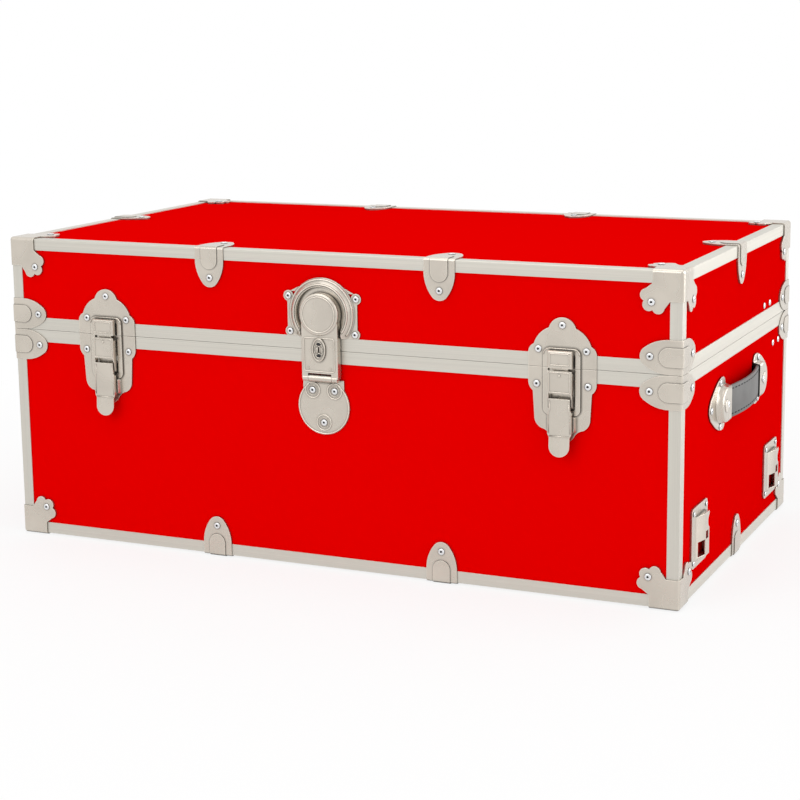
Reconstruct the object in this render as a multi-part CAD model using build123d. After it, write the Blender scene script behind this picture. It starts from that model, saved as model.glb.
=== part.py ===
# Storage chest: a red trunk of plywood boards under a thin coloured covering, edged with aluminium angle.
# The base and the lid meet at a pair of rim profiles.  Corner caps, edge clamps and seam caps are riveted
# over the edging.  The front carries two draw latches and a hasp lock, each end a strap handle, the right end
# two wheel brackets, the back three hinges, and two folding stays hold the lid open from inside.
#
# Case frame used below: x along the length, y from front (-) to back (+), z up from the underside of the
# edging, x = y = 0 at the middle.  export_all() then shifts every piece so that the chest stands on z = 0.
from build123d import *
from math import acos, atan2, cos, degrees, hypot, radians, sin
import os

# Overall size, over the edging
LENGTH = 812.8
DEPTH = 459.0
HEIGHT = 354.0
LID_HEIGHT = 107.0
SEAM_GAP = 0.4
SEAM_Z = HEIGHT - LID_HEIGHT

# Wall build-up, from the outside in
TRIM_T = 1.2
SKIN_T = 0.8
PLY = 6.0
LINING_T = 0.6

# Edging profiles
TRIM_LEG = 13.2
TRIM_ROUND = 1.0
RIM_LEG = 14.2
RIM_INNER_LEG = 9.0
RIM_INNER_T = 1.6
TONGUE_HEIGHT = 6.0
TONGUE_CLEARANCE = 0.5
TONGUE_BACK_GAP = 30.0
SEAM_OVERRUN = 1.0

# Corner caps
CAP_T = 1.6
CAP_ROUND = 3.6
CAP_LEG = 31.6
CAP_LOBES = ((38.2, 25.4, 6.5), (35.4, 35.4, 6.6), (25.4, 38.2, 6.5))
CAP_WEB = ((40.0, 19.5), (37.0, 37.0), (19.5, 40.0))
CAP_RIVET = 32.6

# Edge clamps and seam caps, which are the same bent stamping
CLAMP_T = 1.2
CLAMP_WIDTH = 36.0
CLAMP_LENGTH = 44.4
CLAMP_ROUND = 2.4
BOSS_WIDTH = 20.0
BOSS_LENGTH = 24.0
BOSS_HEIGHT = 0.8
CLAMP_RIVET = 33.7
CLAMP_IN = 266.4
CLAMP_X = LENGTH / 2 - CLAMP_IN

# Rivet heads
RIVET_R = 4.0
RIVET_H = 1.4

# Draw latches
LATCH_IN = 127.9
LATCH_X = LENGTH / 2 - LATCH_IN
LATCH_LID_RIVETS = ((26.4, 18.7), (-26.4, 18.7), (0.0, 44.8))
LATCH_BASE_RIVETS = ((28.2, -18.2), (-28.2, -18.2))
PLATE_T = 1.2
LATCH_HALF = 37.6
CATCH_EDGE = (
    (-37.6, 14.0), ((-36.0, 20.2), (-31.5, 24.0)), ((-25.5, 34.5), (-14.8, 41.8)),
    ((-10.9, 48.5), (0.0, 53.0)),
)
PLATE_EDGE = (
    (-37.6, -15.0), ((-36.3, -21.5), (-32.5, -26.0)), (-30.8, -54.0), ((-28.8, -60.5), (-23.0, -65.5)),
    ((-16.5, -68.5), (-13.0, -73.0)), ((-8.0, -78.0), (0.0, -80.0)),
)
RIB_HALF = 20.5
RIB_WIDTH = 5.5
RIB_TOP = 21.0
RIB_BOTTOM = -50.0
RIB_HEIGHT = 2.0
HOOD_HALF = 13.5
HOOD_TOP = 19.0
HOOD_LIFT = 0.9
HOOD_FRONT = 10.0
LEVER_PIVOT = (6.2, -34.5)
CLAW_PIVOT = (5.4, -38.8)
LEVER_TOP_HALF = 11.8
LEVER_HALF = 13.2
LEVER_FRONT = 10.2
LEVER_T = 1.4
LEVER_TOP = -31.4
LEVER_FLARE = (-43.0, -46.0)
LEVER_BEND = -71.0
LEVER_END = -93.0
TONGUE_HALF = 11.4
LEVER_KICK = 1.6
CLAW_SIDE_GAP = 0.4
CLAW_TOP = -2.0
CLAW_BOTTOM = -26.0
CLAW_SIDE_TOP = -5.0
HOOK_HALF = 8.0
HOOK_TOP = 3.0
PIN_R = 1.2
PIN_CLEARANCE = 0.1

# Hasp lock in the middle of the front
LOCK_EAR_R = 6.0
LOCK_EARS = ((41.2, 58.7), (39.5, 19.4))
LOCK_HALF = 42.5
LOCK_PLATE_FRONT = 0.4
LOCK_SHOULDERS = ((-39.0, 64.0), (-25.0, 71.0), (25.0, 71.0), (39.0, 64.0))
LOCK_DISC_RIVETS = ((-13.5, 18.0), (13.5, 18.0), (0.0, -18.0))
CUP_Z = 41.0
CUP_R = 23.5
CUP_FRONT = 10.4
ARCH_R = 39.6
ARCH_CREST_R = 34.0
ARCH_INNER_R = 29.8
ARCH_FRONT = 5.8
ARCH_MOUTH = 24.5
HASP_HALF = 22.2
HASP_FRONT = 9.3
HASP_T = 1.2
HASP_BACK = 1.0
HASP_PIVOT = (5.5, -30.0)
KNUCKLE_R = 4.2
KNUCKLE_HALF = 14.0
KNUCKLE_GAP = 0.4
DISC_R = 31.5
DISC_Z = -63.0
NECK_HALF = 25.0
NECK_TOP = -32.5
KEY_Z = 2.0
KEY_R = 4.6
KEY_CLEARANCE = 0.3
ESCUTCHEON = (14.0, 24.0, 0.8)
KEYWAY = (1.6, 6.4, 2.0)
CAM = (5.0, 17.0, 1.2)
CAM_BACK = 1.6
STRIKER_HALF = 5.0
STRIKER_T = 1.2
STRIKER_LIP = (16.8, 21.4, 4.4)

# Strap handles, one at each end
HANDLE_DROP = 59.0
HANDLE_Z = SEAM_Z - HANDLE_DROP
MOUNT_SPAN = 125.0
MOUNT_LENGTH = 64.0
MOUNT_HALF = 29.5
BRIDGE_HALF = 19.6
BRIDGE_FRONT = 8.6
BRIDGE_LENGTH = 36.0
BRIDGE_RAMP = 11.0
MOUNT_RIVETS = ((-55.5, 0.0), (-20.0, 24.2), (-20.0, -24.2))
BRIDGE_RIVET = 14.0
STRAP_WIDTH = 36.4
STRAP_T = 3.6
STRAP_SEAT = 3.4
STRAP_BOW = 9.6
STRAP_TAIL = 20.0

# Wheel brackets on the right end
WHEEL_IN_FRONT = 73.0
WHEEL_IN_BACK = 75.0
WHEEL_Y = (WHEEL_IN_FRONT, DEPTH - WHEEL_IN_BACK)
WHEEL_Z = 63.0
WHEEL_SIZE = (59.0, 66.0)
WHEEL_ROUND = 6.0
WHEEL_RIVET_IN = 6.0
WHEEL_RIVET_R = 2.8
PAN_FOOT = (-19.5, 19.5)
PAN_CREST = (4.0, 17.0)
PAN_ENDS = (-25.0, 22.0)
PAN_FRONT = 7.0
PAN_WINDOW = (-12.5, 3.0, -23.0, -6.5)
PAN_SLOT = (4.0, 14.0, -7.0, 2.0)
PAN_NOTCH_R = 7.5
PAN_NOTCH_Y = 11.0

# Hinges at the back
HINGE_IN = 156.4
HINGE_X = (HINGE_IN - LENGTH / 2, 0.0, LENGTH / 2 - HINGE_IN)
HINGE_RIVETS = ((-17.0, 22.0), (17.0, 22.0), (0.0, 13.0))
HINGE_HALF = 25.0
HINGE_LEAF = 32.0
HINGE_T = 1.5
HINGE_R = 3.5
HINGE_OUT = 3.9
HINGE_PIN_R = 1.6
HINGE_PIN_CLEARANCE = 0.08
HINGE_NOTCH = 4.6
HINGE_GAP = 0.4

# Folding stays inside each end: pivots as (distance in front of the hinge axis, height above it)
STAY_BASE = (60.1, -31.4)
STAY_LID = (106.4, 20.4)
STAY_ARM = 81.9
STAY_T = 2.0
STAY_HALF = 6.0
STAY_GAP = 0.4
STAY_RIM_GAP = 0.7
STAY_PIN_R = 2.5
STAY_PIN_CLEARANCE = 0.1
STAY_BRACKET = (44.0, 14.0)
STAY_RIVET_PITCH = 26.0
KNEE_HEAD = (4.5, 1.2)

# Depths of the wall's layers below the outer face of the edging
SKIN_IN = TRIM_T
BOARD_IN = SKIN_IN + SKIN_T
INSIDE = BOARD_IN + PLY
LINED = INSIDE + LINING_T
LID_Z = SEAM_Z + SEAM_GAP
FRONT_PROUD = LEVER_FRONT + LEVER_KICK
BACK_PROUD = HINGE_OUT + HINGE_R
Y_SHIFT = (FRONT_PROUD - BACK_PROUD) / 2
FOOT = max(CAP_T, CLAMP_T + BOSS_HEIGHT)

# Local frames on the outside: x across, y up from the seam, z outwards from the face of the edging
FRONT = Plane(origin=(0, -DEPTH / 2, SEAM_Z), x_dir=(1, 0, 0), z_dir=(0, -1, 0)).location
BACK = Plane(origin=(0, DEPTH / 2, SEAM_Z), x_dir=(-1, 0, 0), z_dir=(0, 1, 0)).location
RIGHT = Plane(origin=(LENGTH / 2, -DEPTH / 2, 0), x_dir=(0, 1, 0), z_dir=(1, 0, 0)).location


def span(x0, x1, y0, y1, z0, z1):
    """A box given by its limits."""
    return Pos((x0 + x1) / 2, (y0 + y1) / 2, (z0 + z1) / 2) * Box(x1 - x0, y1 - y0, z1 - z0)


def slab(inset, z0, z1):
    """A level sheet over the whole footprint, in from its outline by inset."""
    return span(inset - LENGTH / 2, LENGTH / 2 - inset, inset - DEPTH / 2, DEPTH / 2 - inset, z0, z1)


def hoop(outer, inner, z0, z1):
    """A rectangular hoop round the case, between two insets."""
    return slab(outer, z0, z1) - slab(inner, z0 - 1, z1 + 1)


def raised(sketch, z0, z1):
    """A flat outline made solid between two heights of its local frame."""
    return extrude(Pos(0, 0, z0) * sketch, amount=z1 - z0, dir=(0, 0, 1))


def side_profile(sketch, x0, x1):
    """An outline drawn as (outwards, up) in a local frame, made solid from x0 to x1 across it."""
    stood = Plane(origin=(x1, 0, 0), x_dir=(0, 0, 1), z_dir=(-1, 0, 0))
    return extrude(stood * sketch, amount=x1 - x0, dir=(-1, 0, 0))


def bar(radius, z, y, x0, x1):
    """A round bar across a local frame, with its axis at (outwards z, up y)."""
    return Pos((x0 + x1) / 2, y, z) * Rot(0, 90, 0) * Cylinder(radius, x1 - x0)


def outline(*edges):
    """A face from a chain of points and arcs, each arc given as (middle, end)."""
    point = edges[0]
    lines = []
    for step in edges[1:]:
        if isinstance(step[0], tuple):
            lines.append(ThreePointArc(point, step[0], step[1]))
            point = step[1]
        else:
            lines.append(Line(point, step))
            point = step
    lines.append(Line(point, edges[0]))
    return make_face(lines)


def mirrored_outline(*edges):
    """As outline(), for the left half of a shape that is symmetric about x = 0 and starts and ends on it."""
    half = outline(*edges)
    return half + mirror(half, about=Plane.YZ)


def both_ends(shape):
    """A shape on the right end, with its mirror image on the left end."""
    return [shape, mirror(shape, about=Plane.YZ)]


# Case: the boards, their covering and their lining
def base_boards():
    top = SEAM_Z - TRIM_T
    floor = slab(BOARD_IN, BOARD_IN, INSIDE)
    wall_x = LENGTH / 2 - BOARD_IN
    wall_y = DEPTH / 2 - BOARD_IN
    front = span(-wall_x, wall_x, -wall_y, PLY - wall_y, INSIDE, top)
    right = span(wall_x - PLY, wall_x, PLY - wall_y, wall_y - PLY, INSIDE, top)
    return {
        "base_floor_board": floor,
        "base_front_board": front,
        "base_back_board": mirror(front, about=Plane.XZ),
        "base_right_board": right,
        "base_left_board": mirror(right, about=Plane.YZ),
    }


def lid_boards():
    low = LID_Z + TRIM_T
    under = HEIGHT - INSIDE
    top = slab(BOARD_IN, under, HEIGHT - BOARD_IN)
    wall_x = LENGTH / 2 - BOARD_IN
    wall_y = DEPTH / 2 - BOARD_IN
    front = span(-wall_x, wall_x, -wall_y, PLY - wall_y, low, under)
    right = span(wall_x - PLY, wall_x, PLY - wall_y, wall_y - PLY, low, under)
    return {
        "lid_top_board": top,
        "lid_front_board": front,
        "lid_back_board": mirror(front, about=Plane.XZ),
        "lid_right_board": right,
        "lid_left_board": mirror(right, about=Plane.YZ),
    }


def coverings():
    base_top = SEAM_Z - TRIM_T
    lid_low = LID_Z + TRIM_T
    base_skin = slab(SKIN_IN, SKIN_IN, BOARD_IN) + hoop(SKIN_IN, BOARD_IN, BOARD_IN, base_top)
    lid_skin = slab(SKIN_IN, HEIGHT - BOARD_IN, HEIGHT - SKIN_IN)
    lid_skin += hoop(SKIN_IN, BOARD_IN, lid_low, HEIGHT - BOARD_IN)
    base_lining = slab(INSIDE, INSIDE, LINED) + hoop(INSIDE, LINED, LINED, base_top)
    lid_lining = slab(INSIDE, HEIGHT - LINED, HEIGHT - INSIDE)
    lid_lining += hoop(INSIDE, LINED, lid_low, HEIGHT - LINED)
    return {
        "base_skin": base_skin,
        "lid_skin": lid_skin,
        "base_lining": base_lining,
        "lid_lining": lid_lining,
    }


# Edging: angle frames at the bottom and top, angles up the corners, and the two rim profiles
def edge_frame():
    frame = hoop(0, TRIM_T, 0, TRIM_LEG) + hoop(0, TRIM_LEG, 0, TRIM_T)
    lowest = frame.edges().group_by(Axis.Z)[0]
    outer = [e for e in lowest if max(abs(e.center().X) * 2 - LENGTH, abs(e.center().Y) * 2 - DEPTH) > -0.1]
    return fillet(outer, TRIM_ROUND)


def corner_angle(z0, z1):
    """The upright angle at the front left corner."""
    x = -LENGTH / 2
    y = -DEPTH / 2
    angle = span(x, x + TRIM_LEG, y, y + TRIM_LEG, z0, z1)
    angle -= span(x + TRIM_T, 0, y + TRIM_T, 0, z0 - 1, z1 + 1)
    corner = angle.edges().filter_by(Axis.Z).sort_by(lambda e: e.center().X + e.center().Y)[0]
    return fillet(corner, TRIM_ROUND)


def four_corners(shape):
    """A shape at the front left corner, copied to all four."""
    pair = [shape, mirror(shape, about=Plane.YZ)]
    return pair + [mirror(s, about=Plane.XZ) for s in pair]


def rims():
    web = SEAM_Z - TRIM_T
    lip = LINED + TONGUE_CLEARANCE
    base = hoop(0, TRIM_T, SEAM_Z - RIM_LEG, SEAM_Z) + hoop(0, lip + RIM_INNER_T, web, SEAM_Z)
    base += hoop(LINED, lip + RIM_INNER_T, SEAM_Z - RIM_INNER_LEG, web)
    tongue = hoop(lip, lip + RIM_INNER_T, SEAM_Z, SEAM_Z + TONGUE_HEIGHT)
    base += tongue - span(-LENGTH, LENGTH, DEPTH / 2 - TONGUE_BACK_GAP, DEPTH, 0, HEIGHT)
    lid = hoop(0, TRIM_T, LID_Z, LID_Z + RIM_LEG) + hoop(0, LINED, LID_Z, LID_Z + TRIM_T)
    return {"base_rim": base, "lid_rim": lid}


def edging():
    frame = edge_frame()
    parts = {
        "base_bottom_trim": frame,
        "lid_top_trim": Pos(0, 0, HEIGHT) * mirror(frame, about=Plane.XY),
        "base_corner_trims": four_corners(corner_angle(TRIM_LEG, SEAM_Z - RIM_LEG)),
        "lid_corner_trims": four_corners(corner_angle(LID_Z + RIM_LEG, HEIGHT - TRIM_LEG)),
    }
    parts.update(rims())
    return parts


def envelope():
    """What the riveted hardware is pressed over: the covered case with its edging on, solid.

    Each half runs on past the seam, so that no piece's edge at the seam lies in a face it is cut by.
    """
    base_top = SEAM_Z + SEAM_OVERRUN
    lid_low = LID_Z - SEAM_OVERRUN
    base = slab(SKIN_IN, SKIN_IN, base_top) + hoop(0, TRIM_LEG, 0, TRIM_T) + hoop(0, INSIDE, 0, TRIM_LEG)
    base += hoop(0, INSIDE, SEAM_Z - RIM_LEG, base_top)
    lid = slab(SKIN_IN, lid_low, HEIGHT - SKIN_IN) + hoop(0, TRIM_LEG, HEIGHT - TRIM_T, HEIGHT)
    lid += hoop(0, INSIDE, HEIGHT - TRIM_LEG, HEIGHT) + hoop(0, INSIDE, lid_low, LID_Z + RIM_LEG)
    x = -LENGTH / 2
    y = -DEPTH / 2
    post = span(x, x + TRIM_LEG, y, y + TRIM_LEG, TRIM_LEG, HEIGHT - TRIM_LEG)
    post -= span(x + TRIM_T, 0, y + TRIM_T, 0, 0, HEIGHT)
    for corner in four_corners(post):
        base += corner & slab(0, 0, base_top)
        lid += corner & slab(0, lid_low, HEIGHT)
    return base, lid


BASE_ENVELOPE, LID_ENVELOPE = envelope()
RIVETS = {"base": [], "lid": []}


def rivet(body, place, x, y, height, radius=RIVET_R):
    """A rivet head that stands on a plate at (x, y, height) of the local frame given by place."""
    head = Pos(x, y, height + RIVET_H / 2) * Cylinder(radius, RIVET_H)
    head = chamfer(head.edges().sort_by(Axis.Z)[-1], RIVET_H / 2)
    RIVETS[body].append(place * head)


def seated(shape, body):
    """Hardware cut to lie on the case, on the covering and stepping over the edging."""
    return shape - (BASE_ENVELOPE if body == "base" else LID_ENVELOPE)


# Corner caps
def corner_cap():
    """A cap for the bottom front left corner, at the origin with the case towards +x, +y and +z."""
    side = CAP_LEG + CAP_T
    face = Pos((CAP_LEG - CAP_T) / 2, (CAP_LEG - CAP_T) / 2) * Rectangle(side, side)
    face += Polygon((CAP_LEG, TRIM_LEG), *CAP_WEB, (TRIM_LEG, CAP_LEG), align=None)
    for x, y, r in CAP_LOBES:
        face += Pos(x, y) * Circle(r)
    leaf = raised(face, -CAP_T, TRIM_T)
    turn = Axis((0, 0, 0), (1, 1, 1))
    cap = leaf + leaf.rotate(turn, 120) + leaf.rotate(turn, 240)
    corner = Vector(-CAP_T, -CAP_T, -CAP_T)
    outer = [e for e in cap.edges() if any((v.center() - corner).length < 0.01 for v in e.vertices())]
    return fillet(outer, CAP_ROUND)


def corner_caps():
    low = seated(Pos(-LENGTH / 2, -DEPTH / 2, 0) * corner_cap(), "base")
    high = seated(Pos(-LENGTH / 2, -DEPTH / 2, HEIGHT) * mirror(corner_cap(), about=Plane.XY), "lid")
    reach = LENGTH / 2 - CAP_RIVET
    for side in (-1, 1):
        for body, y in (("base", CAP_RIVET), ("lid", HEIGHT - CAP_RIVET)):
            rivet(body, FRONT, side * reach, y - SEAM_Z, CAP_T)
            rivet(body, BACK, side * reach, y - SEAM_Z, CAP_T)
            for y_row in (CAP_RIVET, DEPTH - CAP_RIVET):
                add_end_rivet(body, side, y_row, y, CAP_T)
        for y_row in (CAP_RIVET - DEPTH / 2, DEPTH / 2 - CAP_RIVET):
            rivet("lid", Location((0, 0, HEIGHT)), side * reach, y_row, CAP_T)
    return {"base_corner_caps": four_corners(low), "lid_corner_caps": four_corners(high)}


def add_end_rivet(body, side, y, z, height, radius=RIVET_R):
    """A rivet on the right (side 1) or left (side -1) end, y from the front face and z up."""
    rivet(body, RIGHT, y, z, height, radius)
    if side < 0:
        RIVETS[body][-1] = mirror(RIVETS[body][-1], about=Plane.YZ)


# Edge clamps and seam caps
def clamp():
    """The bent stamping on an edge along x, with the case behind its front leg and under its top leg."""
    half = CLAMP_WIDTH / 2
    tip = CLAMP_LENGTH
    shoulder = tip - 32.0
    leg = outline(
        (-half, -CLAMP_T), (-half, shoulder), ((-half + 2.6, tip - 16), (-8.4, tip - 3.8)),
        ((0, tip), (8.4, tip - 3.8)), ((half - 2.6, tip - 16), (half, shoulder)), (half, -CLAMP_T),
    )
    boss_r = BOSS_WIDTH / 2
    boss_low = -CLAMP_T - BOSS_HEIGHT
    boss_end = BOSS_LENGTH - boss_r
    boss = Pos(0, (boss_low + boss_end) / 2) * Rectangle(BOSS_WIDTH, boss_end - boss_low)
    boss += Pos(0, boss_end) * Circle(boss_r)
    bent = two_legs(leg, -TRIM_T, CLAMP_T, CLAMP_ROUND)
    return bent + two_legs(boss, 0, CLAMP_T + BOSS_HEIGHT, CLAMP_ROUND + BOSS_HEIGHT)


def two_legs(sketch, z0, z1, bend):
    """One outline raised on the top face and on the front face of an edge, with the bend rounded."""
    top = raised(sketch, z0, z1)
    both = top + mirror(top, about=Plane(origin=(0, 0, 0), z_dir=(0, 1, 1)))
    crest = both.edges().filter_by(Axis.X).sort_by(lambda e: e.center().Z - e.center().Y)[-1]
    return fillet(crest, bend)


def edge_places():
    """Where the top edge's clamps sit, each place with x along the edge and the case behind it."""
    front = [Location((x, -DEPTH / 2, HEIGHT)) for x in (-CLAMP_X, CLAMP_X)]
    back = [Location((x, DEPTH / 2, HEIGHT), (0, 0, 180)) for x in (-CLAMP_X, CLAMP_X)]
    ends = [Location((LENGTH / 2, 0, HEIGHT), (0, 0, 90)), Location((-LENGTH / 2, 0, HEIGHT), (0, 0, -90))]
    return front + back + ends


def edge_clamps():
    piece = clamp()
    level = Plane(origin=(0, 0, HEIGHT / 2), z_dir=(0, 0, 1))
    lid = []
    base = []
    for place in edge_places():
        high = place * piece
        lid.append(seated(high, "lid"))
        base.append(seated(mirror(high, about=level), "base"))
        rivet("lid", place, 0, CLAMP_RIVET, CLAMP_T)
        upright = place * Location((0, 0, 0), (90, 0, 0))
        rivet("lid", upright, 0, -CLAMP_RIVET, CLAMP_T)
        RIVETS["base"].append(mirror(RIVETS["lid"][-1], about=level))
    return {"lid_edge_clamps": lid, "base_edge_clamps": base}


def seam_caps():
    """The same stamping on each upright edge, one just above the seam and one just below it."""
    piece = Pos(-LENGTH / 2, -DEPTH / 2, 0) * Rot(0, -90, 0) * clamp()
    middle = CLAMP_WIDTH / 2
    caps = {}
    for body, z in (("lid", LID_Z + middle), ("base", SEAM_Z - middle)):
        caps[body] = four_corners(seated(Pos(0, 0, z) * piece, body))
        for side in (-1, 1):
            rivet(body, FRONT, side * (LENGTH / 2 - CLAMP_RIVET), z - SEAM_Z, CLAMP_T)
            rivet(body, BACK, side * (LENGTH / 2 - CLAMP_RIVET), z - SEAM_Z, CLAMP_T)
            for y_row in (CLAMP_RIVET, DEPTH - CLAMP_RIVET):
                add_end_rivet(body, side, y_row, z, CLAMP_T)
    return {"lid_seam_caps": caps["lid"], "base_seam_caps": caps["base"]}


# Draw latches, in the front frame with x = 0 at the latch
def latch_rib(y0, y1):
    """The stretch between two heights of the raised frame that is pressed round the latch."""
    middle = (RIB_TOP + RIB_BOTTOM) / 2
    width = 2 * RIB_HALF
    height = RIB_TOP - RIB_BOTTOM
    frame = Pos(0, middle) * RectangleRounded(width, height, 7)
    frame -= Pos(0, middle) * RectangleRounded(width - 2 * RIB_WIDTH, height - 2 * RIB_WIDTH, 3)
    window = Pos(0, (y0 + y1) / 2) * Rectangle(2 * width, y1 - y0)
    return raised(frame & window, PLATE_T, PLATE_T + RIB_HEIGHT)


def latch_catch():
    """The lid's half of the latch: a shield-shaped plate with a hood that the claw hooks up into."""
    low = SEAM_GAP
    plate = raised(mirrored_outline(
        (0, low), (-LATCH_HALF, low), *CATCH_EDGE,
    ), -TRIM_T, PLATE_T)
    hood_low = SEAM_GAP + HOOD_LIFT - 0.4
    hood = span(-HOOD_HALF, HOOD_HALF, hood_low, HOOD_TOP, PLATE_T, HOOD_FRONT)
    front_edges = hood.edges().group_by(Axis.Z)[-1].filter_by(lambda e: e.center().Y > hood_low + 0.1)
    hood = fillet(front_edges, 1.8)
    wall = CLAMP_T
    inner = HOOD_HALF - wall
    hollow = span(-inner, inner, hood_low - 1, HOOD_TOP - wall, PLATE_T, HOOD_FRONT - wall)
    return plate + latch_rib(low, RIB_TOP) + (hood - hollow)


def latch_plate():
    """The base's half: a plate with two ears for the lever's pin and a pressed channel below them."""
    plate = raised(mirrored_outline(
        (0, 0), (-LATCH_HALF, 0), *PLATE_EDGE,
    ), -TRIM_T, PLATE_T)
    channel = Pos(0, -59) * RectangleRounded(33, 19, 3)
    plate += extrude(Pos(0, 0, PLATE_T) * channel, amount=4.0, taper=25)
    px, py = LEVER_PIVOT
    cheek = Polygon((PLATE_T, py - 4.4), (px, py - 1.8), (px, py + 1.8), (PLATE_T, py + 1.8), align=None)
    cheek += Pos(px, py) * Circle(1.8)
    ear = side_profile(cheek, LEVER_TOP_HALF - 3.0, LEVER_TOP_HALF - 1.6)
    ears = ear + mirror(ear, about=Plane.YZ)
    hole = bar(PIN_R + PIN_CLEARANCE, px, py, -LEVER_HALF, LEVER_HALF)
    return plate + latch_rib(RIB_BOTTOM, 0) + (ears - hole)


def latch_lever():
    back = LEVER_FRONT - LEVER_T
    slant = radians(45)
    face = mirrored_outline(
        (0, LEVER_TOP), (-LEVER_TOP_HALF, LEVER_TOP), (-LEVER_TOP_HALF, LEVER_FLARE[0]),
        (-LEVER_HALF, LEVER_FLARE[1]), (-LEVER_HALF, LEVER_BEND + 2), (-TONGUE_HALF, LEVER_BEND - 1.5),
        (-TONGUE_HALF, LEVER_END + TONGUE_HALF),
        ((-TONGUE_HALF * cos(slant), LEVER_END + TONGUE_HALF * (1 - sin(slant))), (0, LEVER_END)),
    )
    section = Polygon(
        (back, LEVER_TOP), (LEVER_FRONT, LEVER_TOP), (LEVER_FRONT, LEVER_BEND),
        (LEVER_FRONT + LEVER_KICK, LEVER_END), (back + LEVER_KICK, LEVER_END), (back, LEVER_BEND),
        align=None,
    )
    lever = side_profile(section, -LEVER_HALF, LEVER_HALF) & raised(face, 0, LEVER_FRONT + LEVER_KICK)
    px, py = LEVER_PIVOT
    qx, qy = CLAW_PIVOT
    cheek = Polygon(
        (back, LEVER_TOP), (px - 1.6, py + 2.2), (qx - 2.2, qy + 2), (qx - 2.2, qy - 2.4), (back, qy - 4),
        align=None,
    )
    wall = side_profile(cheek, LEVER_TOP_HALF - CLAMP_T, LEVER_TOP_HALF)
    wall -= bar(PIN_R + PIN_CLEARANCE, px, py, 0, LEVER_HALF)
    wall -= bar(PIN_R + PIN_CLEARANCE, qx, qy, 0, LEVER_HALF)
    skirt = span(LEVER_HALF - CLAMP_T, LEVER_HALF, LEVER_BEND + 3, LEVER_FLARE[1], back - 2.6, back)
    sides = wall + skirt
    return lever + sides + mirror(sides, about=Plane.YZ)


def latch_claw():
    """The draw plate, whose legs run down outside the lever's cheeks to the pivot below its pin."""
    inner = LEVER_TOP_HALF + CLAW_SIDE_GAP
    outer = inner + CLAMP_T
    back = LEVER_FRONT - CLAMP_T
    qx, qy = CLAW_PIVOT
    plate = span(-outer, outer, CLAW_BOTTOM, CLAW_TOP, back, LEVER_FRONT)
    leg = Polygon(
        (LEVER_FRONT, CLAW_SIDE_TOP), (qx - 1, CLAW_SIDE_TOP), (qx - 2.4, qy), (qx + 2.4, qy),
        (LEVER_FRONT - 2, CLAW_BOTTOM - 6), (LEVER_FRONT, CLAW_BOTTOM), align=None,
    )
    leg += Pos(qx, qy) * Circle(2.4)
    side = side_profile(leg, inner, outer) + bar(PIN_R, qx, qy, LEVER_TOP_HALF - CLAMP_T, outer)
    front_x = qx - 0.8 + CLAMP_T
    hook = Polygon(
        (back, CLAW_SIDE_TOP - 2.6), (back, CLAW_SIDE_TOP - 4), (front_x - CLAMP_T, CLAW_SIDE_TOP - 4),
        (front_x - CLAMP_T, HOOK_TOP), (front_x, HOOK_TOP), (front_x, CLAW_SIDE_TOP - 2.6), align=None,
    )
    return plate + side + mirror(side, about=Plane.YZ) + side_profile(hook, -HOOK_HALF, HOOK_HALF)


def latches():
    parts = {}
    catch, plate, lever, claw = latch_catch(), latch_plate(), latch_lever(), latch_claw()
    pins = []
    for name, x in (("left", -LATCH_X), ("right", LATCH_X)):
        place = FRONT * Pos(x, 0, 0)
        parts[name + "_latch_catch"] = seated(place * catch, "lid")
        parts[name + "_latch_plate"] = seated(place * plate, "base")
        parts[name + "_latch_lever"] = place * lever
        parts[name + "_latch_claw"] = place * claw
        pins.append(place * bar(PIN_R, *LEVER_PIVOT, -LEVER_TOP_HALF, LEVER_TOP_HALF))
        for dx, dy in LATCH_LID_RIVETS:
            rivet("lid", place, dx, dy, PLATE_T)
        for dx, dy in LATCH_BASE_RIVETS:
            rivet("base", place, dx, dy, PLATE_T)
    parts["latch_pins"] = pins
    return parts


# Hasp lock, in the front frame
def lock_lid_plate():
    """The lid's plate: a raised arch, open at its foot, that the hasp's round cup sits in."""
    low = SEAM_GAP + RIM_LEG
    high_ear, low_ear = LOCK_EARS
    face = Pos(0, (low_ear[1] + high_ear[1]) / 2) * Rectangle(2 * LOCK_HALF, high_ear[1] - low_ear[1])
    face += Pos(0, (low + low_ear[1]) / 2) * Rectangle(2 * low_ear[0], low_ear[1] - low)
    face += Pos(0, CUP_Z) * Circle(ARCH_R)
    face += Polygon(*LOCK_SHOULDERS, align=None)
    for x, y in (high_ear, low_ear):
        for side in (-1, 1):
            face += Pos(side * x, y) * Circle(LOCK_EAR_R)
    face &= Pos(0, low + LENGTH / 2) * Rectangle(LENGTH, LENGTH)
    rise = ARCH_FRONT - LOCK_PLATE_FRONT
    arch = Pos(0, CUP_Z, LOCK_PLATE_FRONT + rise / 2) * Cone(ARCH_R, ARCH_CREST_R, rise)
    arch -= Pos(0, CUP_Z, 0) * Cylinder(ARCH_INNER_R, LENGTH)
    arch -= span(-ARCH_MOUTH, ARCH_MOUTH, -LENGTH, CUP_Z, -1, CUP_FRONT)
    arch -= span(-LENGTH, LENGTH, -LENGTH, low, -1, CUP_FRONT)
    lip_low, lip_high, lip_front = STRIKER_LIP
    wide = STRIKER_HALF
    striker = span(-wide, wide, lip_high - STRIKER_T, lip_high, LOCK_PLATE_FRONT, lip_front)
    striker += span(-wide, wide, lip_low, lip_high, lip_front - STRIKER_T, lip_front)
    return raised(face, -TRIM_T, LOCK_PLATE_FRONT) + arch + striker


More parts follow.
